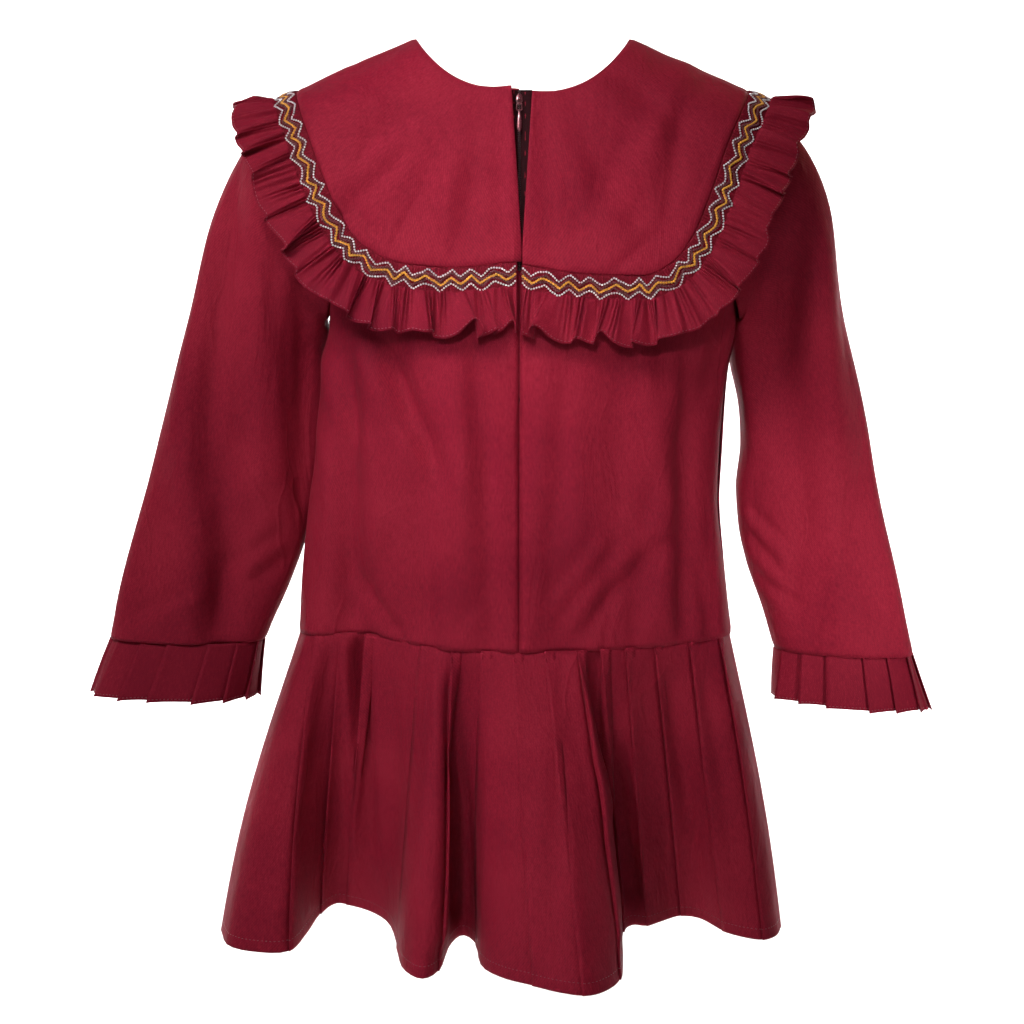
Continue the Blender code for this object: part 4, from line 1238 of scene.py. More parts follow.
@dataclass
class Collar:
    """The wide collar: two halves at the back, split over the zip, and one piece in front."""

    columns: tuple[int, int] = (130, 70)
    rows: tuple[int, int] = (100, 52)
    loft: float = 0.0016
    seam_depth: float = 0.0009
    edge_roll: float = 0.0006
    roll_depth: float = 0.0010
    facing_step: float = 0.0006
    slit_stand: tuple[float, float] = (0.0030, 0.0012)
    creases: tuple[Crease, ...] = (
        Crease(-138, -122.5, -109, -157, 2.4, 1.6),
        Crease(-131, -118, -104, -150, 6.0, 2.0),
        Crease(-77, -95, -60, -131, 1.8, 0.6),
        Crease(-60, -131, -52, -150, 2.6, 0.5),
        Crease(-74, -117, -95, -157, 2.4, 0.9),
        Crease(-84, -90, -139, -140, 7.0, 2.2),
        Crease(-98, -16, -146, -39, 4.0, 0.9),
        Crease(-120, -24, -84, -60, 5.0, 0.8),
        Crease(-60, -50, -110, -78, 9.0, 1.9),
        Crease(-28, -60, -40, -150, 10.0, 2.1),
        Crease(-16, -70, -12, -150, 6.0, 1.1),
        Crease(-58, -62, -30, -110, 3.0, 0.5),
        Crease(-108, -70, -122, -112, 5.0, 0.9),
        Crease(70, -30, 128, -76, 10.0, 2.4),
        Crease(52, -84, 96, -150, 12.0, 2.6),
        Crease(96, -150, 70, -172, 5.0, 1.2),
        Crease(18, -70, 24, -160, 7.0, 1.2),
        Crease(118, -60, 108, -140, 8.0, 1.9),
        Crease(40, -50, 60, -120, 9.0, 0.8),
    )

    def half(self, edge: CollarEdge) -> Array:
        """Points of one half, from the neckline to the band.

        Args:
            edge: the edge.

        Returns:
            The points.
        """
        side, face = edge.side, edge.face
        shares = np.sin(np.linspace(0.0, math.pi / 2, self.columns[face > 0] + 1))
        steps = np.linspace(0.0, 1.0, self.rows[face > 0] + 1)
        neck = float(TORSO.at(side.word, 0.0))
        neck_x, neck_z = side * neck * shares, neckline_z(side, face, shares)
        if face < 0:
            neck_x = neck_x + (1.0 - shares) * split_x(side, neck_z)
        edge_x, edge_z = edge.place(shares)
        x = neck_x + (edge_x - neck_x) * steps[:, None]
        z = neck_z + (edge_z - neck_z) * steps[:, None]
        if face < 0:
            x[:, 0] = split_x(side, z[:, 0])
        x[:, -1] = side * COLLAR_FORM.half_width(side, z[:, -1])
        return COLLAR_FORM.lay(face, x, z, self.lift(side, face, x, z, steps[:, None]))

    def lift(self, side: Side, face: Face, x: Array, z: Array, steps: Array) -> Array:
        """How far the cloth stands off its form.

        Args:
            side: the side.
            face: the face.
            x: places across.
            z: heights.
            steps: shares from the neckline to the band.

        Returns:
            The heights.
        """
        reach = COLLAR_FORM.half_width(side * np.ones_like(z), z)
        inward = np.clip(1.0 - np.abs(x) / reach, 0.0, 1.0)
        away = 1.0 - (1.0 - np.clip(inward / 0.12, 0.0, 1.0)) ** 2
        height = COLLAR_LIFT + self.loft * away
        height = height - self.seam_depth * (bump(steps, 0.0, 0.02) + bump(steps, 1.0, 0.014))
        height = height + self.edge_roll * bump(steps, 0.955, 0.03) * away
        height = height + self.roll_depth * np.sin(ripple(x - 0.5 * z, 0.061, ((0.2, 0.15, 0.6),))) \
            * np.sin(math.pi * steps) * away
        if face > 0:
            return height + relief(self.creases, -x, z) * away
        slit = np.abs(x - split_x(side, z))
        stand = self.slit_stand[side > 0] * np.clip((z + 0.175) / 0.06, 0.0, 1.0)
        height = height + stand * bump(slit, 0.0, 0.010)
        height = height + 0.0006 * bump(slit, 0.0015, 0.0018)
        if side < 0:
            patch = np.clip((0.0295 + x) / 0.001, 0.0, 1.0) * np.clip((z + 0.0515) / 0.0007, 0.0, 1.0)
            height = height + self.facing_step * patch
        return height + relief(self.creases, x, z) * away

    def build(self) -> list[bpy.types.Object]:
        """Make the three pieces."""
        return [Cloth.panel(f"collar_{end}", grid, COTTON, Held.DRAPED, rests_on=["bodice_front"])
                for end, _, grid in collar_parts(self.half)]


@dataclass
class SmockedBand:
    """The band along the collar's edge: fine gathers held by zigzag rows of stitches."""

    gather_pitch: float = 0.0023
    gather_depth: float = 0.00045
    gather_samples: int = 4
    rows: int = 15
    zigzag_pitch: float = 0.0168
    swing: float = 0.0031
    bead_pitch: float = 0.00200
    bead_size: tuple[float, float, float] = (0.00086, 0.00080, 0.00070)
    thickness: float = 0.0007
    lines: tuple[tuple[float, Thread], ...] = (
        (0.0048, Thread.WHITE), (0.0073, Thread.WINE), (0.0098, Thread.GOLD), (0.0122, Thread.WINE),
        (0.0148, Thread.WHITE))

    def zigzag(self, lengths: Array, total: float, line: float = 0.009) -> Array:
        """The rows' swing to either side, from about -1 to 1, along the band.

        Args:
            lengths: lengths along the band.
            total: the band's whole length.
            line: the row's distance from the collar; each row swings a little in its own way.

        Returns:
            The swing at each length.
        """
        turns = max(2, round(total / self.zigzag_pitch))
        share = lengths / total
        own = line * 900.0
        phase = share * turns + 0.10 * np.sin(share * 41.0 + 0.7) + 0.05 * np.sin(share * 97.0 + own)
        point = 1.0 - 4.0 * np.abs((phase % 1.0) - 0.5)
        soft = -np.cos(2.0 * math.pi * phase)
        strength = 0.88 + 0.16 * np.sin(share * 63.0 + 2.0) + 0.08 * np.sin(share * 131.0 + own)
        return (0.72 * point + 0.28 * soft) * strength

    def half(self, edge: CollarEdge) -> Array:
        """Points of one half of the band.

        Args:
            edge: the edge.

        Returns:
            The points.
        """
        total = edge.run(BAND_WIDTH / 2)[1][-1]
        count = self.gather_samples * round(total / self.gather_pitch)
        shares, lengths = edge.even_shares(count, BAND_WIDTH / 2)
        zigzag = self.zigzag(lengths, total)
        gather = np.cos(2.0 * math.pi * np.arange(count + 1) / self.gather_samples)
        grid = []
        for distance in np.linspace(0.0, BAND_WIDTH + 0.0006, self.rows):
            near = sum(bump(distance, line + self.swing * zigzag, 0.0009) for line, _ in self.lines)
            ends = math.sin(math.pi * distance / (BAND_WIDTH + 0.0006)) ** 0.35
            gathers = 0.0004 + self.gather_depth * gather * (1.0 - 0.7 * near)
            lift = COLLAR_LIFT + CLOTH * 0.6 + ends * (gathers - 0.0003 * near)
            grid.append(edge.points(shares, np.full_like(shares, distance), lift))
        return edge.trim(np.array(grid))

    def stitches(self, edge: CollarEdge, line: float) -> tuple[Array, Array, Array]:
        """Places and directions of one row's stitches on one half.

        Args:
            edge: the edge.
            line: the row's distance from the collar.

        Returns:
            The places, their long directions and their outward directions.
        """
        shares, lengths = edge.even_shares(1600, BAND_WIDTH / 2)
        keep = slice(4, -4) if edge.face < 0 and edge.side < 0 else slice(1, -1)
        wander = 0.0003 * np.sin(lengths / 0.0071 + 700.0 * line) + 0.00012 * np.sin(lengths / 0.0011)
        distance = line + self.swing * self.zigzag(lengths, lengths[-1], line) + wander
        path = edge.points(shares, distance, np.full_like(shares, COLLAR_LIFT + CLOTH + 0.0006))
        outs = COLLAR_FORM.normals(edge.face, path)
        return Beads.along_line(path[keep], outs[keep], self.bead_pitch)

    def build(self) -> list[bpy.types.Object]:
        """Make the bands and their stitches.

        Returns:
            The pieces.
        """
        threads = {Thread.WHITE: (WHITE_THREAD, 1.0), Thread.GOLD: (GOLD_THREAD, 1.38),
                   Thread.WINE: (WINE_THREAD, 1.25)}
        pieces = []
        for end, edges, grid in collar_parts(self.half):
            node, beads = f"band_{end}", []
            for colour, (finish, bold) in threads.items():
                rows = [self.stitches(edge, line) for line, kind in self.lines if kind is colour
                        for edge in edges]
                places, alongs, outs = (np.concatenate(part) for part in zip(*rows))
                size = tuple(value * bold for value in self.bead_size)
                name = f"stitches_{colour.value}_{node}"
                beads.append(Beads.build(name, places, alongs, outs, size, finish))
            band = Cloth.panel(node, grid, SHADED_BAND, Held.GATHERED, self.thickness, with_pieces=beads)
            pieces += [band, *beads]
        return pieces


@dataclass
class HemStitches:
    """A row of short stitches near a hem."""

    pitch: float = 0.0030
    size: tuple[float, float, float] = (0.00095, 0.00028, 0.00022)

    def build(self, name: str, grid: Array, above: float, around: bool = False) -> bpy.types.Object:
        """Sew along the row that lies a distance above the hem.

        Args:
            name: the piece's name.
            grid: the cloth's outer points; its last row is the hem.
            above: the distance from the hem.
            around: whether the last column joins the first.

        Returns:
            The stitches.
        """
        run = Cloth.lengths(grid, 0)
        away = (run[-1] - run).mean(axis=1)
        row = int(np.argmin(np.abs(away - above)))
        line, outs = grid[row], Cloth.normals(grid, around)[row]
        places, alongs, out = Beads.along_line(line, outs, self.pitch)
        return Beads.build(name, places + out * 0.00012, alongs, out, self.size, SEWING_THREAD)


@dataclass(frozen=True)
class Tuck:
    """A deep fold of the ruffle at a length from the collar's centre, in millimetres."""

    side: Side
    along: float
    width: float
    depth: float
    notch: float


@dataclass
class Ruffle:
    """The ruffle: fine gathers at the band that run out into broad folds at the hem."""

    columns: tuple[int, int] = (640, 440)
    rows: int = 20
    gather_pitch: float = 0.0046
    gather_depth: float = 0.0042
    wave_pitch: float = 0.0225
    wave_depth: float = 0.0078
    shear: float = 1.05
    thickness: float = 0.0006
    hem_stitches_above: float = 0.0019
    tucks: tuple[Tuck, ...] = (
        Tuck(Side.LEFT, 40.0, 7.0, 8.0, 0.30),
        Tuck(Side.LEFT, 74.0, 8.0, 4.5, 0.10),
        Tuck(Side.LEFT, 7.0, 5.0, 5.0, 0.12),
        Tuck(Side.RIGHT, 19.0, 6.0, 6.0, 0.16),
        Tuck(Side.RIGHT, 63.0, 6.5, 8.5, 0.26),
        Tuck(Side.RIGHT, 132.0, 8.0, 4.5, 0.08),
        Tuck(Side.RIGHT, 205.0, 9.0, 5.0, 0.10),
        Tuck(Side.LEFT, 190.0, 9.0, 4.5, 0.08),
    )

    def half(self, edge: CollarEdge) -> Array:
        """Points of one half of the ruffle.

        Args:
            edge: the edge.

        Returns:
            The points.
        """
        shares, lengths = edge.even_shares(self.columns[edge.face > 0], BAND_WIDTH + RUFFLE_WIDTH / 2)
        lift = np.full_like(shares, COLLAR_LIFT + 0.0004)
        start = edge.points(shares, np.full_like(shares, BAND_WIDTH - 0.0010), lift)
        beyond = edge.points(shares, np.full_like(shares, 1.25 * BAND_WIDTH), lift)
        fall = unit(beyond - start)
        along = unit(np.gradient(start, axis=0))
        out = unit(np.cross(fall, along))
        out = out * np.sign(np.sum(out * COLLAR_FORM.normals(edge.face, start), axis=-1, keepdims=True))
        flare = COLLAR_EDGE.at("flare", shares)[:, None]
        way = unit(fall + flare * out)
        lift_way = unit(out - flare * fall)
        s = lengths + 0.011 * edge.side + 0.017 * edge.face
        fine = ripple(s, self.gather_pitch, ((0.55, 0.031, 0.4), (0.35, 0.0137, 1.1), (0.8, 0.093, 2.0)))
        broad = ripple(s, self.wave_pitch, ((0.22, 0.083, 0.7), (0.14, 0.049, 1.9), (0.3, 0.27, 0.2)))
        strength = 0.85 + 0.35 * np.sin(ripple(s, 0.071, ((0.2, 0.2, 1.0),)))
        lasting = 0.80 + 0.55 * np.sin(ripple(s, 0.0193, ((0.3, 0.061, 0.5),)))
        uneven = 0.75 + 0.45 * np.sin(ripple(s, 0.0127, ((0.3, 0.037, 2.0),)))
        gather = (0.5 + 0.5 * np.cos(fine)) ** 1.2 * uneven
        crest = 0.5 + 0.5 * np.cos(broad)
        ends = np.clip(np.minimum(lengths / 0.004, (lengths[-1] - lengths) / 0.016), 0.0, 1.0)
        deep, notch = np.zeros_like(s), np.zeros_like(s)
        for tuck in self.tucks:
            if tuck.side == edge.side:
                hill = bump(lengths, tuck.along * MM, tuck.width * MM)
                deep = deep + tuck.depth * MM * hill
                notch = notch + tuck.notch * bump(lengths, tuck.along * MM + 0.004, 0.6 * tuck.width * MM)
        rows = []
        for t in np.linspace(0.0, 1.0, self.rows):
            wave = self.wave_depth * strength * crest**1.2 * t**0.9 + deep * t**1.2
            height = wave + self.gather_depth * gather * (1.0 - t) ** lasting * min(1.0, 0.35 + 8.0 * t)
            height = height + 0.0008 * t * gather * np.clip(1.2 - t, 0.0, 1.0)
            lean = ends * self.shear * wave
            short = (notch + 0.09 * crest**2) * t * ends
            reach = (RUFFLE_WIDTH + 0.0006) * t * (1.03 + 0.03 * np.sin(ripple(s, 0.057)) - short)
            sag = 0.0016 * t * math.sin(math.pi * t)
            lift = height * (0.12 + 0.88 * ends) + sag
            rows.append(start + way * reach[:, None] + lift_way * lift[:, None] - along * lean[:, None])
        return edge.trim(np.array(rows))

    def build(self) -> list[bpy.types.Object]:
        """Make the three lengths of ruffle and their hems' stitches.

        Returns:
            The pieces.
        """
        pieces = []
        for end, _, grid in collar_parts(self.half):
            node = f"ruffle_{end}"
            hem = HemStitches().build(f"hem_{node}", grid, self.hem_stitches_above)
            pieces += [Cloth.panel(node, grid, SHADED_TRIM, Held.GATHERED, self.thickness, with_pieces=[hem]), hem]
        return pieces


@dataclass
class Sleeve:
    """A long sleeve, from the armhole over its cap to the cuff's seam."""

    side: Side
    creases: tuple[Crease, ...]
    cap_reach: float
    lean: float
    inward: float
    forward: float
    inward_reach: float
    around: int = 96
    cap_rows: int = 26
    tube_rows: int = 80

    def angles(self) -> Array:
        """Angles around: the outer side, over the back to the inner side, and on by the front."""
        return np.linspace(0.0, 2.0 * math.pi, self.around, endpoint=False)

    def ring(self, station: float) -> Array:
        """One section of the tube.

        Args:
            station: the share of the way down.

        Returns:
            The points.
        """
        table, angle = SLEEVES[self.side], self.angles()
        outer = np.array([table.at("outer_x", station), 0.0, table.at("outer_z", station)])
        inner = np.array([table.at("inner_x", station), 0.0, table.at("inner_z", station)])
        depth = np.where(np.sin(angle) >= 0.0, table.at("back", station), table.at("front", station))
        ring = (outer + inner) / 2.0 + (outer - inner) / 2.0 * np.cos(angle)[:, None]
        flat = np.sign(np.sin(angle)) * np.abs(np.sin(angle)) ** 0.8
        outer_share = 0.5 + 0.5 * np.cos(angle)
        bow = np.sin(math.pi * (0.15 + 0.7 * station))
        ring[:, 1] = -depth * flat + self.lean * (outer_share - 0.4) * bow
        inner_share = (1.0 - outer_share) ** 2 * bump(station, 0.0, self.inward_reach)
        ring[:, 0] -= self.side * self.inward * inner_share
        ring[:, 1] += self.forward * inner_share
        return ring

    def armhole(self) -> tuple[Array, Array]:
        """The armhole's ring and the ways in which the sleeve leaves it.

        Returns:
            The points and the ways.
        """
        angle = self.angles()
        at_back = np.sin(angle) >= -1e-9
        fold = np.where(at_back, angle, 2.0 * math.pi - angle)
        x, z = armhole_edge(self.side, fold)
        y = np.where(at_back, BODICE_FORM.surface_y(Face.BACK, x, z), BODICE_FORM.surface_y(Face.FRONT, x, z))
        down = ((1.0 - np.cos(fold)) / 2.0)[:, None]
        top_way = np.array([self.side * 0.92, 0.0, -0.38])
        low_way = np.array([self.side * 0.94, 0.0, 0.34])
        way = unit(top_way * (1.0 - down) + low_way * down)
        gap = unit(way + np.array([0.0, 0.0, 1.0]) * down**3)
        return np.stack([x, y, z], axis=-1) + gap * SEAM * (1.0 + down), way

    def grid(self) -> Array:
        """The sleeve's points with its folds.

        Returns:
            The points.
        """
        start, start_way = self.armhole()
        end = self.ring(0.0)
        end_way = unit(self.ring(0.05) - end)
        reach = np.linalg.norm(end - start, axis=1, keepdims=True)
        under = ((1.0 - np.cos(self.angles())) / 2.0)[:, None] ** 6
        out_way = (1.0 - 0.75 * under) * self.cap_reach * reach * start_way
        in_way = 0.93 * reach * end_way
        rings = []
        for t in np.linspace(0.0, 1.0, self.cap_rows + 1)[:-1]:
            rings.append(hermite(t, start, out_way, end, in_way))
        rings += [self.ring(station) for station in np.linspace(0.0, 1.0, self.tube_rows + 1)]
        grid = np.array(rings)
        normal = Cloth.normals(grid, around=True)
        angle = self.angles()
        face = np.clip(np.abs(np.sin(angle)) * 2.0, 0.0, 1.0)
        x, z = grid[..., 0], grid[..., 2]
        mirrored = np.where(np.sin(angle) >= 0.0, 1.0, 0.6)
        height = relief(self.creases, x, z) * face * mirrored
        rows = np.arange(len(grid))
        seam = bump(rows, len(grid) - 1.0, 0.8)[:, None] + bump(rows, 0.0, 0.8)[:, None]
        inside = np.clip((rows - 4) / 12.0, 0.0, 1.0) * np.clip((len(grid) - 1 - rows) / 10.0, 0.0, 1.0)
        slow = np.sin(2.0 * angle + 9.0 * z[:, :1] * self.side) * np.sin(z[:, :1] * 31.0 + 1.3 * self.side)
        return grid + normal * (height - 0.0007 * seam + 0.0016 * inside[:, None] * slow)[..., None]

    def build(self) -> list[bpy.types.Object]:
        """Make the sleeve."""
        return [Cloth.panel(f"sleeve_{self.side.word}", self.grid(), COTTON, Held.HUNG, around=True)]


@dataclass(frozen=True)
class Pleater:
    """Folds a line of cloth into knife pleats whose folds face the line's start."""

    panel_samples: int = 10
    lap_samples: int = 3

    def profile(self, folds: Array, start: float, end: float) -> tuple[Array, Array, Array]:
        """The cloth's way across its pleats.

        Args:
            folds: where each fold lies along the line.
            start: the line's start.
            end: the line's end.

        Returns:
            For each point, its place along the line, how many laps it lies past that place, and its height
            in pleat heights.
        """
        place, lap, height = [], [], []
        ends = np.concatenate([folds, [end]])
        first = np.linspace(start, folds[0], self.panel_samples + 1)
        place += list(first)
        lap += [0.0] * len(first)
        height += list(np.linspace(-0.35, -0.75, len(first)))
        for fold, following in zip(folds, ends[1:]):
            under = np.linspace(0.25, 1.0, self.lap_samples)
            place += [fold] * (2 * self.lap_samples + 2)
            lap += [*under, *(under[::-1] - 0.03), 0.02, 0.0]
            height += [*np.linspace(-0.95, -1.0, self.lap_samples),
                       *np.linspace(-0.55, 0.15, self.lap_samples), 0.45, 0.85]
            share = np.linspace(0.0, 1.0, self.panel_samples + 1)
            place += list(fold + (following - fold) * share)
            lap += [0.0] * len(share)
            height += list(1.0 - 1.75 * np.sin(share * math.pi / 2) ** 0.8)
        return np.array(place), np.array(lap), np.array(height)

    @staticmethod
    def walk(line: Array, places: Array) -> Array:
        """Points at places along a line whose points are numbered from 0."""
        index = np.arange(len(line))
        return np.stack([np.interp(places, index, line[:, i]) for i in range(3)], axis=-1)


@dataclass
class Cuff:
    """A pleated ruffle that flares from a sleeve's end."""

    side: Side
    pleats: int = 14
    dense: int = 720
    rows: int = 22
    lap_top: float = 0.0065
    lap_hem: float = 0.0022
    height: float = 0.0016
    thickness: float = 0.0007
    hem_stitches_above: float = 0.0030

    def grid(self) -> Array:
        """The cuff's points, from the seam to the hem.

        Returns:
            The points.
        """
        table, hem = SLEEVES[self.side], CUFF_HEMS[self.side]
        top_outer = np.array([float(table.at("outer_x", 1.0)), 0.0, float(table.at("outer_z", 1.0))])
        top_inner = np.array([float(table.at("inner_x", 1.0)), 0.0, float(table.at("inner_z", 1.0))])
        low_outer = np.array([hem["outer"][0], 0.0, hem["outer"][1]])
        low_inner = np.array([hem["inner"][0], 0.0, hem["inner"][1]])
        angle = np.linspace(0.0, 2.0 * math.pi, self.dense + 1) * -self.side + 0.3
        folds = (np.arange(self.pleats) + 0.5) / self.pleats
        folds = folds + 0.007 * np.sin(np.arange(self.pleats) * 2.4)
        place, lap, height = Pleater(8, 3).profile(folds * self.dense, 0.0, float(self.dense))
        grid = []
        for t in np.linspace(0.0, 1.0, self.rows):
            outer, inner = top_outer + (low_outer - top_outer) * t, top_inner + (low_inner - top_inner) * t
            depth = float(table.at("back", 1.0)) * (1.0 - t) + hem["depth"] * t
            reach = (outer - inner) / 2.0
            turn = angle + 0.05 * self.side * t
            line = (outer + inner) / 2.0 + reach * np.cos(turn)[:, None]
            line[:, 1] = -depth * np.sin(turn)
            spacing = np.linalg.norm(np.diff(line, axis=0), axis=1).mean()
            lap_now = (self.lap_top + (self.lap_hem - self.lap_top) * t) / spacing
            at = place + lap * lap_now
            points = Pleater.walk(line, at % self.dense)
            turned = np.interp(at % self.dense, np.arange(self.dense + 1), turn)
            normal = unit(reach[None] / np.linalg.norm(reach) ** 2 * np.cos(turned)[:, None]
                          + np.array([0.0, -1.0, 0.0]) * (np.sin(turned) / depth)[:, None])
            swell = self.height * (0.85 + 0.35 * t) * (height - 0.3) - 0.0006 * (1.0 - t)
            flute = 0.0018 * t**2 * np.sin(place / self.dense * 2.0 * math.pi * 5.0 + self.side)
            points = points + normal * (swell + flute)[:, None]
            points[:, 2] -= 0.0009 * t**2 * (height + 0.4)
            grid.append(points)
        return np.array(grid)[:, :-1]

    def build(self) -> list[bpy.types.Object]:
        """Make the cuff and its hem's stitches.

        Returns:
            The pieces.
        """
        node = f"cuff_{self.side.word}"
        grid = self.grid()
        hem = HemStitches().build(f"hem_{node}", grid, self.hem_stitches_above, around=True)
        return [Cloth.panel(node, grid, SHADED_TRIM, Held.GATHERED, self.thickness, True, with_pieces=[hem]), hem]


@dataclass
class Skirt:
    """The skirt: knife pleats pressed at the waist that open into flutes at the hem."""

    between: int = 12
    rows: tuple[int, int] = (84, 56)
    lap_top: float = 0.0085
    height: float = 0.0029
    side_bow: tuple[float, float] = (0.0065, 0.0040)
    thickness: float = 0.0008
    hem_stitches_above: float = 0.0080
    creases: tuple[Crease, ...] = (
        Crease(-178, -560, -208, -698, 3.0, 1.6),
        Crease(-112, -497, -78, -499, 1.6, 0.7),
        Crease(-124, -470, -122, -630, 6.0, 9.5),
        Crease(-100, -505, -104, -630, 7.0, 3.0),
        Crease(-49, -490, -48, -676, 6.0, 8.0),
        Crease(58, -475, 80, -580, 7.0, 7.5),
        Crease(78, -560, 92, -668, 8.5, 8.5),
        Crease(30, -540, 24, -650, 9.0, 2.6),
        Crease(-66, -500, -70, -640, 6.0, -2.0),
        Crease(118, -500, 140, -620, 6.5, 3.4),
        Crease(148, -500, 172, -640, 6.0, 2.4),
        Crease(-16, -540, -22, -660, 6.0, 2.2),
        Crease(-150, -480, -172, -620, 6.0, 2.0),
    )

    @staticmethod
    def front_rows() -> list[tuple[float, ...]]:
        """Rows like SKIRT_BACK for the front, whose flutes follow a formula.

        Returns:
            The rows.
        """
        rows = []
        left, right = (-Bodice.waist_half(Side.LEFT) + SEAM) / MM, (Bodice.waist_half(Side.RIGHT) - SEAM) / MM
        parts = 2 * FRONT_PLEATS
        for i in range(parts + 1):
            even = i / parts
            across = even + 0.5 * ((1.0 - math.cos(math.pi * even)) / 2.0 - even)
            hem_x = FRONT_HEM_LEFT[0] + (FRONT_HEM_RIGHT[0] - FRONT_HEM_LEFT[0]) * across
            side_y = FRONT_HEM_LEFT[1] + (FRONT_HEM_RIGHT[1] - FRONT_HEM_LEFT[1]) * across
            swell = FRONT_HEM_SWELL
            for centre, half, depth in FRONT_FLUTES:
                swell += depth * math.exp(-((hem_x - centre) / half) ** 2)
            rows.append((i % 2, left + (right - left) * across, hem_x,
                         side_y + swell * math.sin(math.pi * across) ** 0.5, 0.0))
        return rows

    def base(self, table: Sequence[Sequence[float]], face: Face) -> Array:
        """Smooth lines around the skirt, from waist to hem, with no pleats.

        Args:
            table: its rows.
            face: the face.

        Returns:
            The points.
        """
        rows = np.array(table, dtype=float)
        waist_x = rows[:, 1] * MM
        top_z = waist_z(waist_x)
        waist_y = BODICE_FORM.surface_y(face, waist_x, top_z)
        waist_y[[0, -1]] = 0.0
        top = np.stack([waist_x, waist_y, top_z], axis=-1)
        hem = np.stack([rows[:, 2] * MM, rows[:, 3] * MM, HEM_Z + rows[:, 4] * MM], axis=-1)
        hem[:, 2] -= 0.002
        down = np.linspace(0.0, 1.0, self.rows[face > 0])[:, None, None]
        points = top + (hem - top) * down
        bow = np.sin(math.pi * down[..., 0] ** 1.15)
        left = np.clip((-rows[:, 1] - 130.0) / 45.0, 0.0, 1.0)
        right = np.clip((rows[:, 1] - 130.0) / 40.0, 0.0, 1.0)
        points[..., 0] += bow * (self.side_bow[1] * right - self.side_bow[0] * left)
        count = len(rows)
        at = np.linspace(0.0, count - 1.0, self.between * (count - 1) + 1)
        i = np.minimum(at.astype(int), count - 2)
        t = (at - i)[None, :, None]
        extended = np.concatenate([2 * points[:, :1] - points[:, 1:2], points,
                                   2 * points[:, -1:] - points[:, -2:-1]], axis=1)
        p0, p1, p2, p3 = extended[:, i], extended[:, i + 1], extended[:, i + 2], extended[:, i + 3]
        return 0.5 * (2 * p1 + (p2 - p0) * t + (2 * p0 - 5 * p1 + 4 * p2 - p3) * t**2
                      + (3 * p1 - p0 - 3 * p2 + p3) * t**3)

    def grid(self, table: Sequence[Sequence[float]], face: Face) -> Array:
        """The pleated skirt panel's points.

        Args:
            table: its rows.
            face: the face.

        Returns:
            The points.
        """
        base = self.base(table, face)
        folds = np.array([i for i, row in enumerate(table) if row[0]], dtype=float) * self.between
        last = base.shape[1] - 1.0
        place, lap, height = Pleater().profile(folds, 0.0, last)
        grid = []
        for t, line in zip(np.linspace(0.0, 1.0, len(base)), base):
            spacing = Cloth.lengths(line[None], 1)[0]
            index = np.arange(len(line))
            run = np.interp(place, index, spacing) + lap * self.lap_top * max(0.04, 1.0 - t / 0.9) ** 0.9
            at = np.clip(np.interp(run, spacing, index), 0.0, last)
            points = Pleater.walk(line, at)
            tangent = unit(np.gradient(line, axis=0) * np.array([1.0, 1.0, 0.0]))
            normal = np.stack([tangent[:, 1], -tangent[:, 0], np.zeros(len(line))], axis=-1) * -face
            normal = unit(Pleater.walk(normal, at))
            rise = min(1.0, 0.28 + 9.0 * t)
            crisp = 0.22 + 0.78 * (1.0 - t) ** 0.8
            swell = self.height * rise * crisp * height - 0.0006 * bump(t, 0.0, 0.01)
            if face < 0:
                swell = swell + relief(self.creases, points[:, 0], points[:, 2]) * (lap == 0.0)
            ends = np.clip(np.minimum(place, last - place) / self.between, 0.0, 1.0)
            grid.append(points + normal * (swell * ends)[:, None])
        grid = np.array(grid)
        grid[0, :, 2] += 0.0012
        return grid

    def build(self) -> list[bpy.types.Object]:
        """Make the two panels and their hems' stitches.

        Returns:
            The pieces.
        """
        pieces = []
        for table, face in ((SKIRT_BACK, Face.BACK), (self.front_rows(), Face.FRONT)):
            node, grid = f"skirt_{face.word}", self.grid(table, face)
            hem = HemStitches(pitch=0.0034).build(f"hem_{node}", grid, self.hem_stitches_above)
            pieces += [Cloth.panel(node, grid, COTTON, Held.HUNG, self.thickness, with_pieces=[hem]), hem]
        return pieces


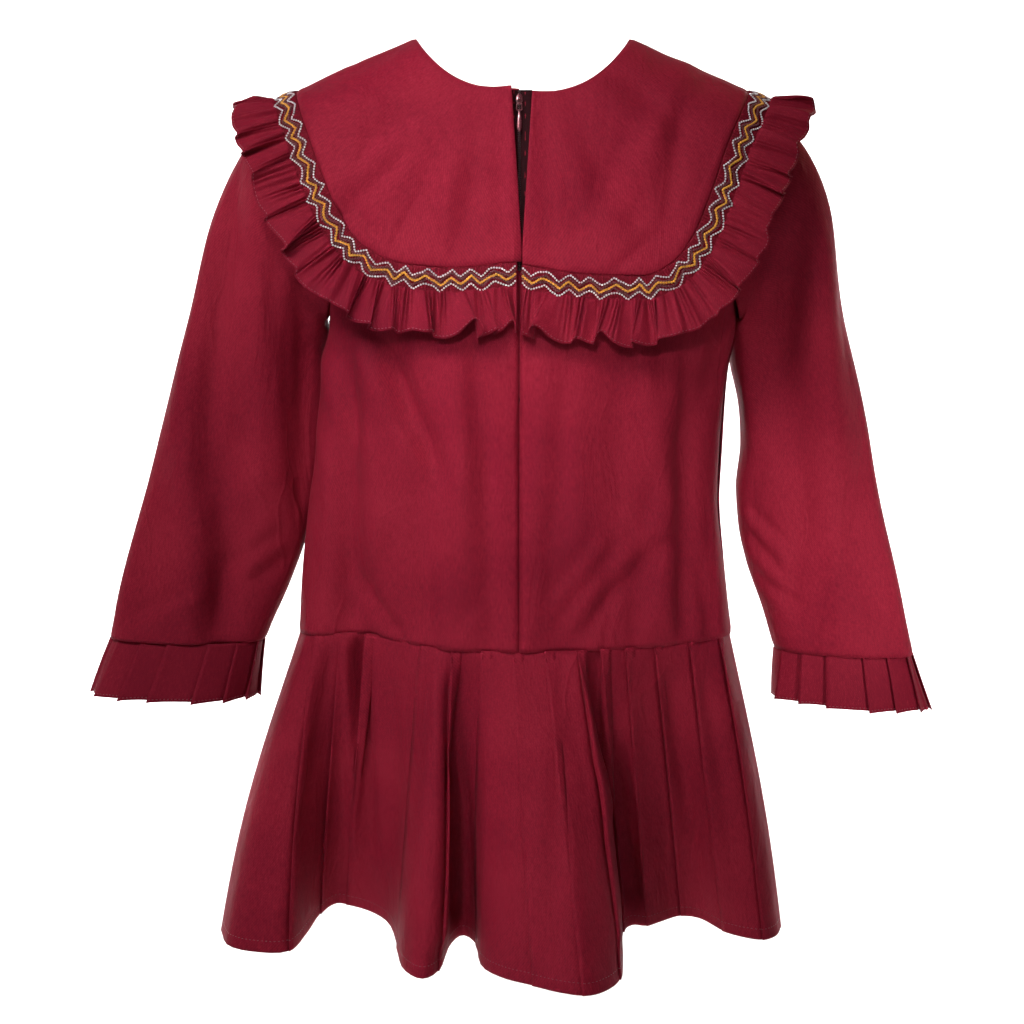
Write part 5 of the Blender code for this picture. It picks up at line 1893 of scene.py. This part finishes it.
class Bench:
    """Pieces modelled from primitives in edit mode."""

    @staticmethod
    def begin(name: str, add: Callable[..., object], **sizes: object) -> bpy.types.Object:
        """Add a primitive, alone in the selection, and name it.

        Args:
            name: its name.
            add: the primitive operator.
            sizes: the operator's sizes.

        Returns:
            The object.
        """
        bpy.ops.object.select_all(action="DESELECT")
        add(**sizes)
        thing = bpy.context.active_object
        thing.name = name
        return thing

    @staticmethod
    def edit(thing: bpy.types.Object, chosen: Callable[[Vector], bool], work: Callable[[], object]) -> None:
        """Select the points that a test chooses and work on them in edit mode.

        Args:
            thing: the piece.
            chosen: the test of a point.
            work: the work.
        """
        bpy.context.view_layer.objects.active = thing
        bpy.ops.object.mode_set(mode="EDIT")
        bpy.ops.mesh.select_mode(type="VERT")
        bpy.ops.mesh.select_all(action="DESELECT")
        shape = bmesh.from_edit_mesh(thing.data)
        for vert in shape.verts:
            vert.select = chosen(vert.co)
        shape.select_flush(True)
        bmesh.update_edit_mesh(thing.data)
        work()
        bpy.ops.object.mode_set(mode="OBJECT")

    @staticmethod
    def reshape(thing: bpy.types.Object, points: Array) -> None:
        """Move a primitive's points."""
        thing.data.vertices.foreach_set("co", points.astype(np.float32).ravel())

    @staticmethod
    def join(name: str, things: Sequence[bpy.types.Object]) -> bpy.types.Object:
        """Join pieces into one.

        Args:
            name: its name.
            things: the pieces.

        Returns:
            The joined piece.
        """
        bpy.ops.object.select_all(action="DESELECT")
        for thing in things:
            thing.select_set(True)
        bpy.context.view_layer.objects.active = things[0]
        bpy.ops.object.join()
        things[0].name = name
        return things[0]

    @staticmethod
    def finish(thing: bpy.types.Object, place: Matrix, finish: Finish, body: str) -> bpy.types.Object:
        """Put a piece in its place, with its place in its mesh, and dress it.

        Args:
            thing: the piece.
            place: its place.
            finish: its finish.
            body: its body.

        Returns:
            The piece.
        """
        thing.data.transform(place @ thing.matrix_world)
        thing.matrix_world = Matrix.Identity(4)
        bpy.ops.object.select_all(action="DESELECT")
        thing.select_set(True)
        bpy.context.view_layer.objects.active = thing
        bpy.ops.object.shade_smooth_by_angle(angle=math.radians(40.0))
        return dress(thing, finish, body)


@dataclass
class Zip:
    """The zip at the centre back: its tape and teeth, the slider and the pull."""

    hinge: tuple[float, float, float] = (0.0, -0.0720, -0.0478)
    out: tuple[float, float, float] = (0.0, -0.9742, 0.2257)
    up: tuple[float, float, float] = (0.0, 0.2257, 0.9742)
    tape_width: float = 0.024
    tape_length: float = 0.330
    shown_low: float = -0.172
    tooth_size: tuple[float, float, float] = (0.00062, 0.0011, 0.00045)
    tooth_pitch: float = 0.0015
    slider_width: float = 0.0050
    slider_length: float = 0.0085
    slider_thickness: float = 0.0022
    wire: float = 0.00045
    loop_top: float = 0.0016
    loop_low: float = 0.0026
    loop_length: float = 0.0086
    tab_length: float = 0.0172
    tab_width: float = 0.0021

    def place(self) -> Matrix:
        """The slider's frame: x across, y out of the cloth, z up along it."""
        turn = Matrix((Vector((-1.0, 0.0, 0.0)), Vector(self.out), Vector(self.up))).transposed()
        return Matrix.Translation(self.hinge) @ turn.to_4x4()

    def strip(self, half: float, top: float, low: float, lift: float) -> Array:
        """A strip of tape on the centre line of the back.

        Args:
            half: half its width.
            top: its upper end.
            low: its lower end.
            lift: how far they are lifted.

        Returns:
            The points.
        """
        across = np.linspace(-half, half, 9)
        down = np.linspace(top, low, 60)
        x, z = np.meshgrid(across, down)
        return BODICE_FORM.lay(Face.BACK, x, z, np.full_like(x, lift))

    def tape(self) -> list[bpy.types.Object]:
        """The tape behind the back seam, and a near-black sheet laid on the bodice as painted shade in the
        collar's slit.

        Returns:
            The pieces.
        """
        top = -NECK_DROP_BACK[Side.LEFT] - 0.002
        inside = self.strip(self.tape_width / 2, top, top - self.tape_length, -0.0022)
        back = Cloth.build("zip_tape_inside", inside, TAPE_AND_SLIT_SHADE, 0.0006)
        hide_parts("zip_tape")
        Cloth.declare(back, inside, Held.HUNG)
        # A near-black sheet on the bodice under the collar's slit: painted shade standing in for the dark
        # gap, not a part of the zip.
        slit_shade = self.strip(0.0095, top + 0.0006, self.shown_low, 0.0007)
        face = Cloth.build("zip_slit_shade_sheet", slit_shade, TAPE_AND_SLIT_SHADE, 0.0005)
        Cloth.declare(face, slit_shade, Held.HUNG)
        line = self.strip(0.0005, top, self.shown_low, 0.0011)
        teeth = Beads.build("zip_teeth", *self.teeth_places(line[:, 4]), self.tooth_size, TEETH)
        return [back, face, teeth]

    def teeth_places(self, line: Array) -> tuple[Array, Array, Array]:
        """Places for the teeth along the zip's centre line."""
        outs = np.repeat(np.array([[0.0, -0.985, 0.17]]), len(line), axis=0)
        return Beads.along_line(line, outs, self.tooth_pitch)

    def slider(self) -> bpy.types.Object:
        """The slider: a waisted body with rounded edges and an arched bridge.

        Returns:
            The slider.
        """
        body = Bench.begin("slider_body", bpy.ops.mesh.primitive_cylinder_add, vertices=28,
                           radius=self.slider_width / 2, depth=self.slider_thickness)
        stretch = self.slider_length / self.slider_width
        Bench.edit(body, lambda co: True, lambda: bpy.ops.transform.resize(value=(1.0, stretch, 1.0)))
        Bench.edit(body, lambda co: co.y < -0.0015, lambda: bpy.ops.transform.resize(value=(0.86, 1.0, 1.0)))
        Bench.edit(body, lambda co: True, lambda: bpy.ops.mesh.bevel(offset=0.00035, segments=3))
        body.data.transform(Matrix.Rotation(math.pi / 2, 4, "X"))
        middle = -(self.slider_thickness / 2 + 0.00035 + self.wire)
        body.data.transform(Matrix.Translation((0.0, middle, 0.0)))
        bridge = Bench.begin("slider_bridge", bpy.ops.mesh.primitive_torus_add, major_radius=0.00145,
                             minor_radius=0.00042, major_segments=28, minor_segments=10)
        Bench.edit(bridge, lambda co: True, lambda: bpy.ops.transform.resize(value=(1.0, 1.0, 1.9)))
        bridge.data.transform(Matrix.Rotation(math.pi / 2, 4, "Y"))
        bridge.data.transform(Matrix.Translation((0.0, -0.00015, 0.0)))
        slider = Bench.join("slider", [body, bridge])
        Bench.finish(slider, self.place(), ENAMEL, BODY)
        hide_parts("zip_slider")
        return slider

    def pull(self) -> bpy.types.Object:
        """The pull: a trapezoid loop of wire and a drop-shaped tab.

        Returns:
            The pull.
        """
        loop = Bench.begin("pull_loop", bpy.ops.mesh.primitive_torus_add, major_radius=1.0,
                           minor_radius=0.2, major_segments=48, minor_segments=10)
        points = np.array([v.co for v in loop.data.vertices])
        angle = np.arctan2(points[:, 1], points[:, 0])
        tube = np.stack([np.hypot(points[:, 0], points[:, 1]) - 1.0, points[:, 2]], axis=-1) * self.wire / 0.2
        square = (np.abs(np.cos(angle)) ** 5 + np.abs(np.sin(angle)) ** 5) ** -0.2
        way = np.stack([np.cos(angle), np.sin(angle)], axis=-1)
        ring = way * square[:, None]
        half = self.loop_length / 2
        width = self.loop_low + (self.loop_top - self.loop_low) * (ring[:, 1] + 1.0) / 2.0
        x = ring[:, 0] * (width - self.wire) + way[:, 0] * tube[:, 0]
        z = ring[:, 1] * half - half + way[:, 1] * tube[:, 0]
        Bench.reshape(loop, np.stack([x, -tube[:, 1], z], axis=-1))
        tab = Bench.begin("pull_tab", bpy.ops.mesh.primitive_uv_sphere_add, segments=28, ring_count=20,
                          radius=1.0)
        ball = np.array([v.co for v in tab.data.vertices])
        down = (1.0 - ball[:, 2]) / 2.0
        swell = self.tab_width * (0.50 + 0.62 * np.clip(down, 0.0, 1.0) ** 1.3)
        drop = np.stack([ball[:, 0] * swell, ball[:, 1] * 0.00046,
                         -self.loop_length + 0.0010 - self.tab_length * down], axis=-1)
        Bench.reshape(tab, drop)
        pull = Bench.join("pull", [loop, tab])
        Bench.finish(pull, self.place(), ENAMEL, "zip_pull")
        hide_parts("zip_pull")
        return pull

    def build(self) -> list[bpy.types.Object]:
        """Make the zip."""
        return [*self.tape(), self.slider(), self.pull()]


@dataclass(frozen=True)
class Lamp:
    """One soft round lamp that points at a target."""

    name: str
    place: tuple[float, float, float]
    target: tuple[float, float, float]
    size: float
    watts: float
    spread: float = 180.0
    colour: Colour = (1.0, 1.0, 1.0)

    def build(self) -> None:
        """Add the lamp to the scene."""
        data = bpy.data.lights.new(self.name, "AREA")
        data.shape = "DISK"
        data.size = self.size
        data.energy = self.watts
        data.spread = math.radians(self.spread)
        data.color = self.colour
        lamp = bpy.data.objects.new(self.name, data)
        lamp.location = self.place
        lamp.rotation_euler = (Vector(self.target) - Vector(self.place)).to_track_quat("-Z", "Y").to_euler()
        bpy.context.collection.objects.link(lamp)


@dataclass
class Studio:
    """The pale floor and backdrop, the soft lights and the camera."""

    floor_z: float = -1.03
    backdrop_y: float = 1.6
    camera_place: tuple[float, float, float] = (-0.0054, -1.45, -0.15)
    camera_pitch: float = 8.4
    lens: float = 64.8
    lamps: tuple[Lamp, ...] = (
        Lamp("key", (-0.85, -1.30, 0.95), (0.0, 0.0, -0.22), 0.5, 20.0),
        Lamp("left", (-1.60, -0.80, 0.60), (0.0, 0.0, -0.30), 0.5, 3.9),
        Lamp("body_beam", (-0.10, -1.45, 0.25), (0.01, 0.0, -0.31), 0.14, 0.16, 21.0),
        Lamp("collar_beam", (-0.25, -1.25, 0.70), (-0.05, 0.0, -0.10), 0.14, 0.125, 20.0),
        Lamp("cuff_beam", (0.90, -1.20, -0.50), (0.285, 0.0, -0.42), 0.14, 0.134, 16.0),
        Lamp("hem_beam", (-0.30, -1.40, -0.50), (-0.03, 0.0, -0.60), 0.14, 0.045, 18.0),
        Lamp("sleeve_beam", (1.20, -1.00, 0.30), (0.29, 0.0, -0.22), 0.12, 0.04, 13.0),
        Lamp("rim", (1.0, 0.45, 0.60), (0.15, 0.0, -0.10), 0.4, 3.0, colour=(1.0, 0.50, 0.22)),
        Lamp("backdrop_left", (-2.4, 1.5, 0.3), (-0.4, 2.4, -0.3), 1.2, 80.0, 120.0),
        Lamp("backdrop_right", (2.4, 1.5, 0.3), (0.4, 2.4, -0.3), 1.2, 80.0, 120.0),
    )

    def build(self) -> None:
        """Make the stage, the lights and the camera."""
        self.stage()
        for lamp in self.lamps:
            lamp.build()
        self.world()
        self.camera()

    def stage(self) -> None:
        """A pale floor that curves up into a backdrop."""
        profile = [(-4.0, self.floor_z), (self.backdrop_y, self.floor_z)]
        turn = 0.8
        for step in range(1, 9):
            angle = math.pi / 2 * step / 8
            profile.append((self.backdrop_y + turn * math.sin(angle),
                            self.floor_z + turn * (1 - math.cos(angle))))
        profile.append((self.backdrop_y + turn, 3.0))
        points = [(x, y, z) for y, z in profile for x in (-5.0, 5.0)]
        faces = [(2 * i, 2 * i + 1, 2 * i + 3, 2 * i + 2) for i in range(len(profile) - 1)]
        mesh = bpy.data.meshes.new("stage_floor")
        mesh.from_pydata(points, [], faces)
        floor = add_object("stage_floor", mesh)
        paper = {"Base Color": (0.93, 0.93, 0.93, 1.0), "Roughness": 0.9}
        mesh.materials.append(Nodes("stage_paper").shade(paper))

    @staticmethod
    def world() -> None:
        """A pale world that fills the shadows."""
        world = bpy.data.worlds.new("studio")
        world.use_nodes = True
        world.node_tree.nodes["Background"].inputs["Color"].default_value = (1.0, 1.0, 1.0, 1.0)
        world.node_tree.nodes["Background"].inputs["Strength"].default_value = 0.03
        bpy.context.scene.world = world
        bpy.context.scene.view_settings.view_transform = "Standard"

    def camera(self) -> None:
        """The camera at the photograph's angle."""
        data = bpy.data.cameras.new("camera")
        data.lens = self.lens
        data.sensor_width = 36.0
        camera = bpy.data.objects.new("camera", data)
        camera.location = self.camera_place
        camera.rotation_euler = (math.radians(90.0 - self.camera_pitch), 0.0, 0.0)
        bpy.context.collection.objects.link(camera)
        bpy.context.scene.camera = camera


LEFT_SLEEVE_CREASES = (
    Crease(-196, -110, -200, -330, 10.0, -3.6),
    Crease(-222, -110, -244, -330, 12.0, 7.0),
    Crease(-166, -190, -172, -345, 8.0, 4.2),
    Crease(-182, -225, -180, -330, 5.0, 1.6),
    Crease(-228, -325, -234, -446, 13.0, 8.0),
    Crease(-210, -360, -236, -440, 9.0, 2.8),
    Crease(-186, -400, -214, -420, 6.0, 1.8),
    Crease(-192, -380, -222, -400, 5.0, 1.3),
    Crease(-266, -300, -300, -440, 12.0, 3.2),
    Crease(-276, -230, -290, -340, 9.0, 2.2),
    Crease(-256, -430, -300, -452, 6.0, -2.0),
)
RIGHT_SLEEVE_CREASES = (
    Crease(192, -165, 198, -280, 12.0, 9.0),
    Crease(178, -215, 184, -300, 6.0, -2.2),
    Crease(208, -150, 212, -330, 10.0, 4.6),
    Crease(232, -160, 240, -300, 10.0, -2.4),
    Crease(221, -340, 216, -430, 7.0, 2.8),
    Crease(184, -360, 206, -380, 4.5, 2.4),
    Crease(182, -380, 210, -410, 4.5, 2.4),
    Crease(188, -410, 214, -430, 4.5, 1.8),
    Crease(252, -150, 268, -330, 11.0, 3.4),
    Crease(262, -360, 288, -450, 12.0, 2.2),
    Crease(236, -320, 250, -440, 10.0, -1.8),
)


def main() -> None:
    """Build the sub-assemblies in order and report each piece."""
    logging.basicConfig(level=logging.INFO, format="%(message)s")
    Studio().build()
    left_sleeve = Sleeve(Side.LEFT, LEFT_SLEEVE_CREASES, cap_reach=1.20, lean=-0.010,
                         inward=0.0090, forward=0.028, inward_reach=0.50)
    right_sleeve = Sleeve(Side.RIGHT, RIGHT_SLEEVE_CREASES, cap_reach=1.42, lean=-0.008,
                          inward=0.0085, forward=0.024, inward_reach=0.13)
    parts = (Bodice(), Collar(), SmockedBand(), Ruffle(), left_sleeve, right_sleeve,
             Cuff(Side.LEFT), Cuff(Side.RIGHT), Skirt(), Zip())
    for part in parts:
        for piece in part.build():
            LOG.info("%s: %s, %d faces", type(part).__name__, piece.name, len(piece.data.polygons))


if __name__ == "__main__":
    main()
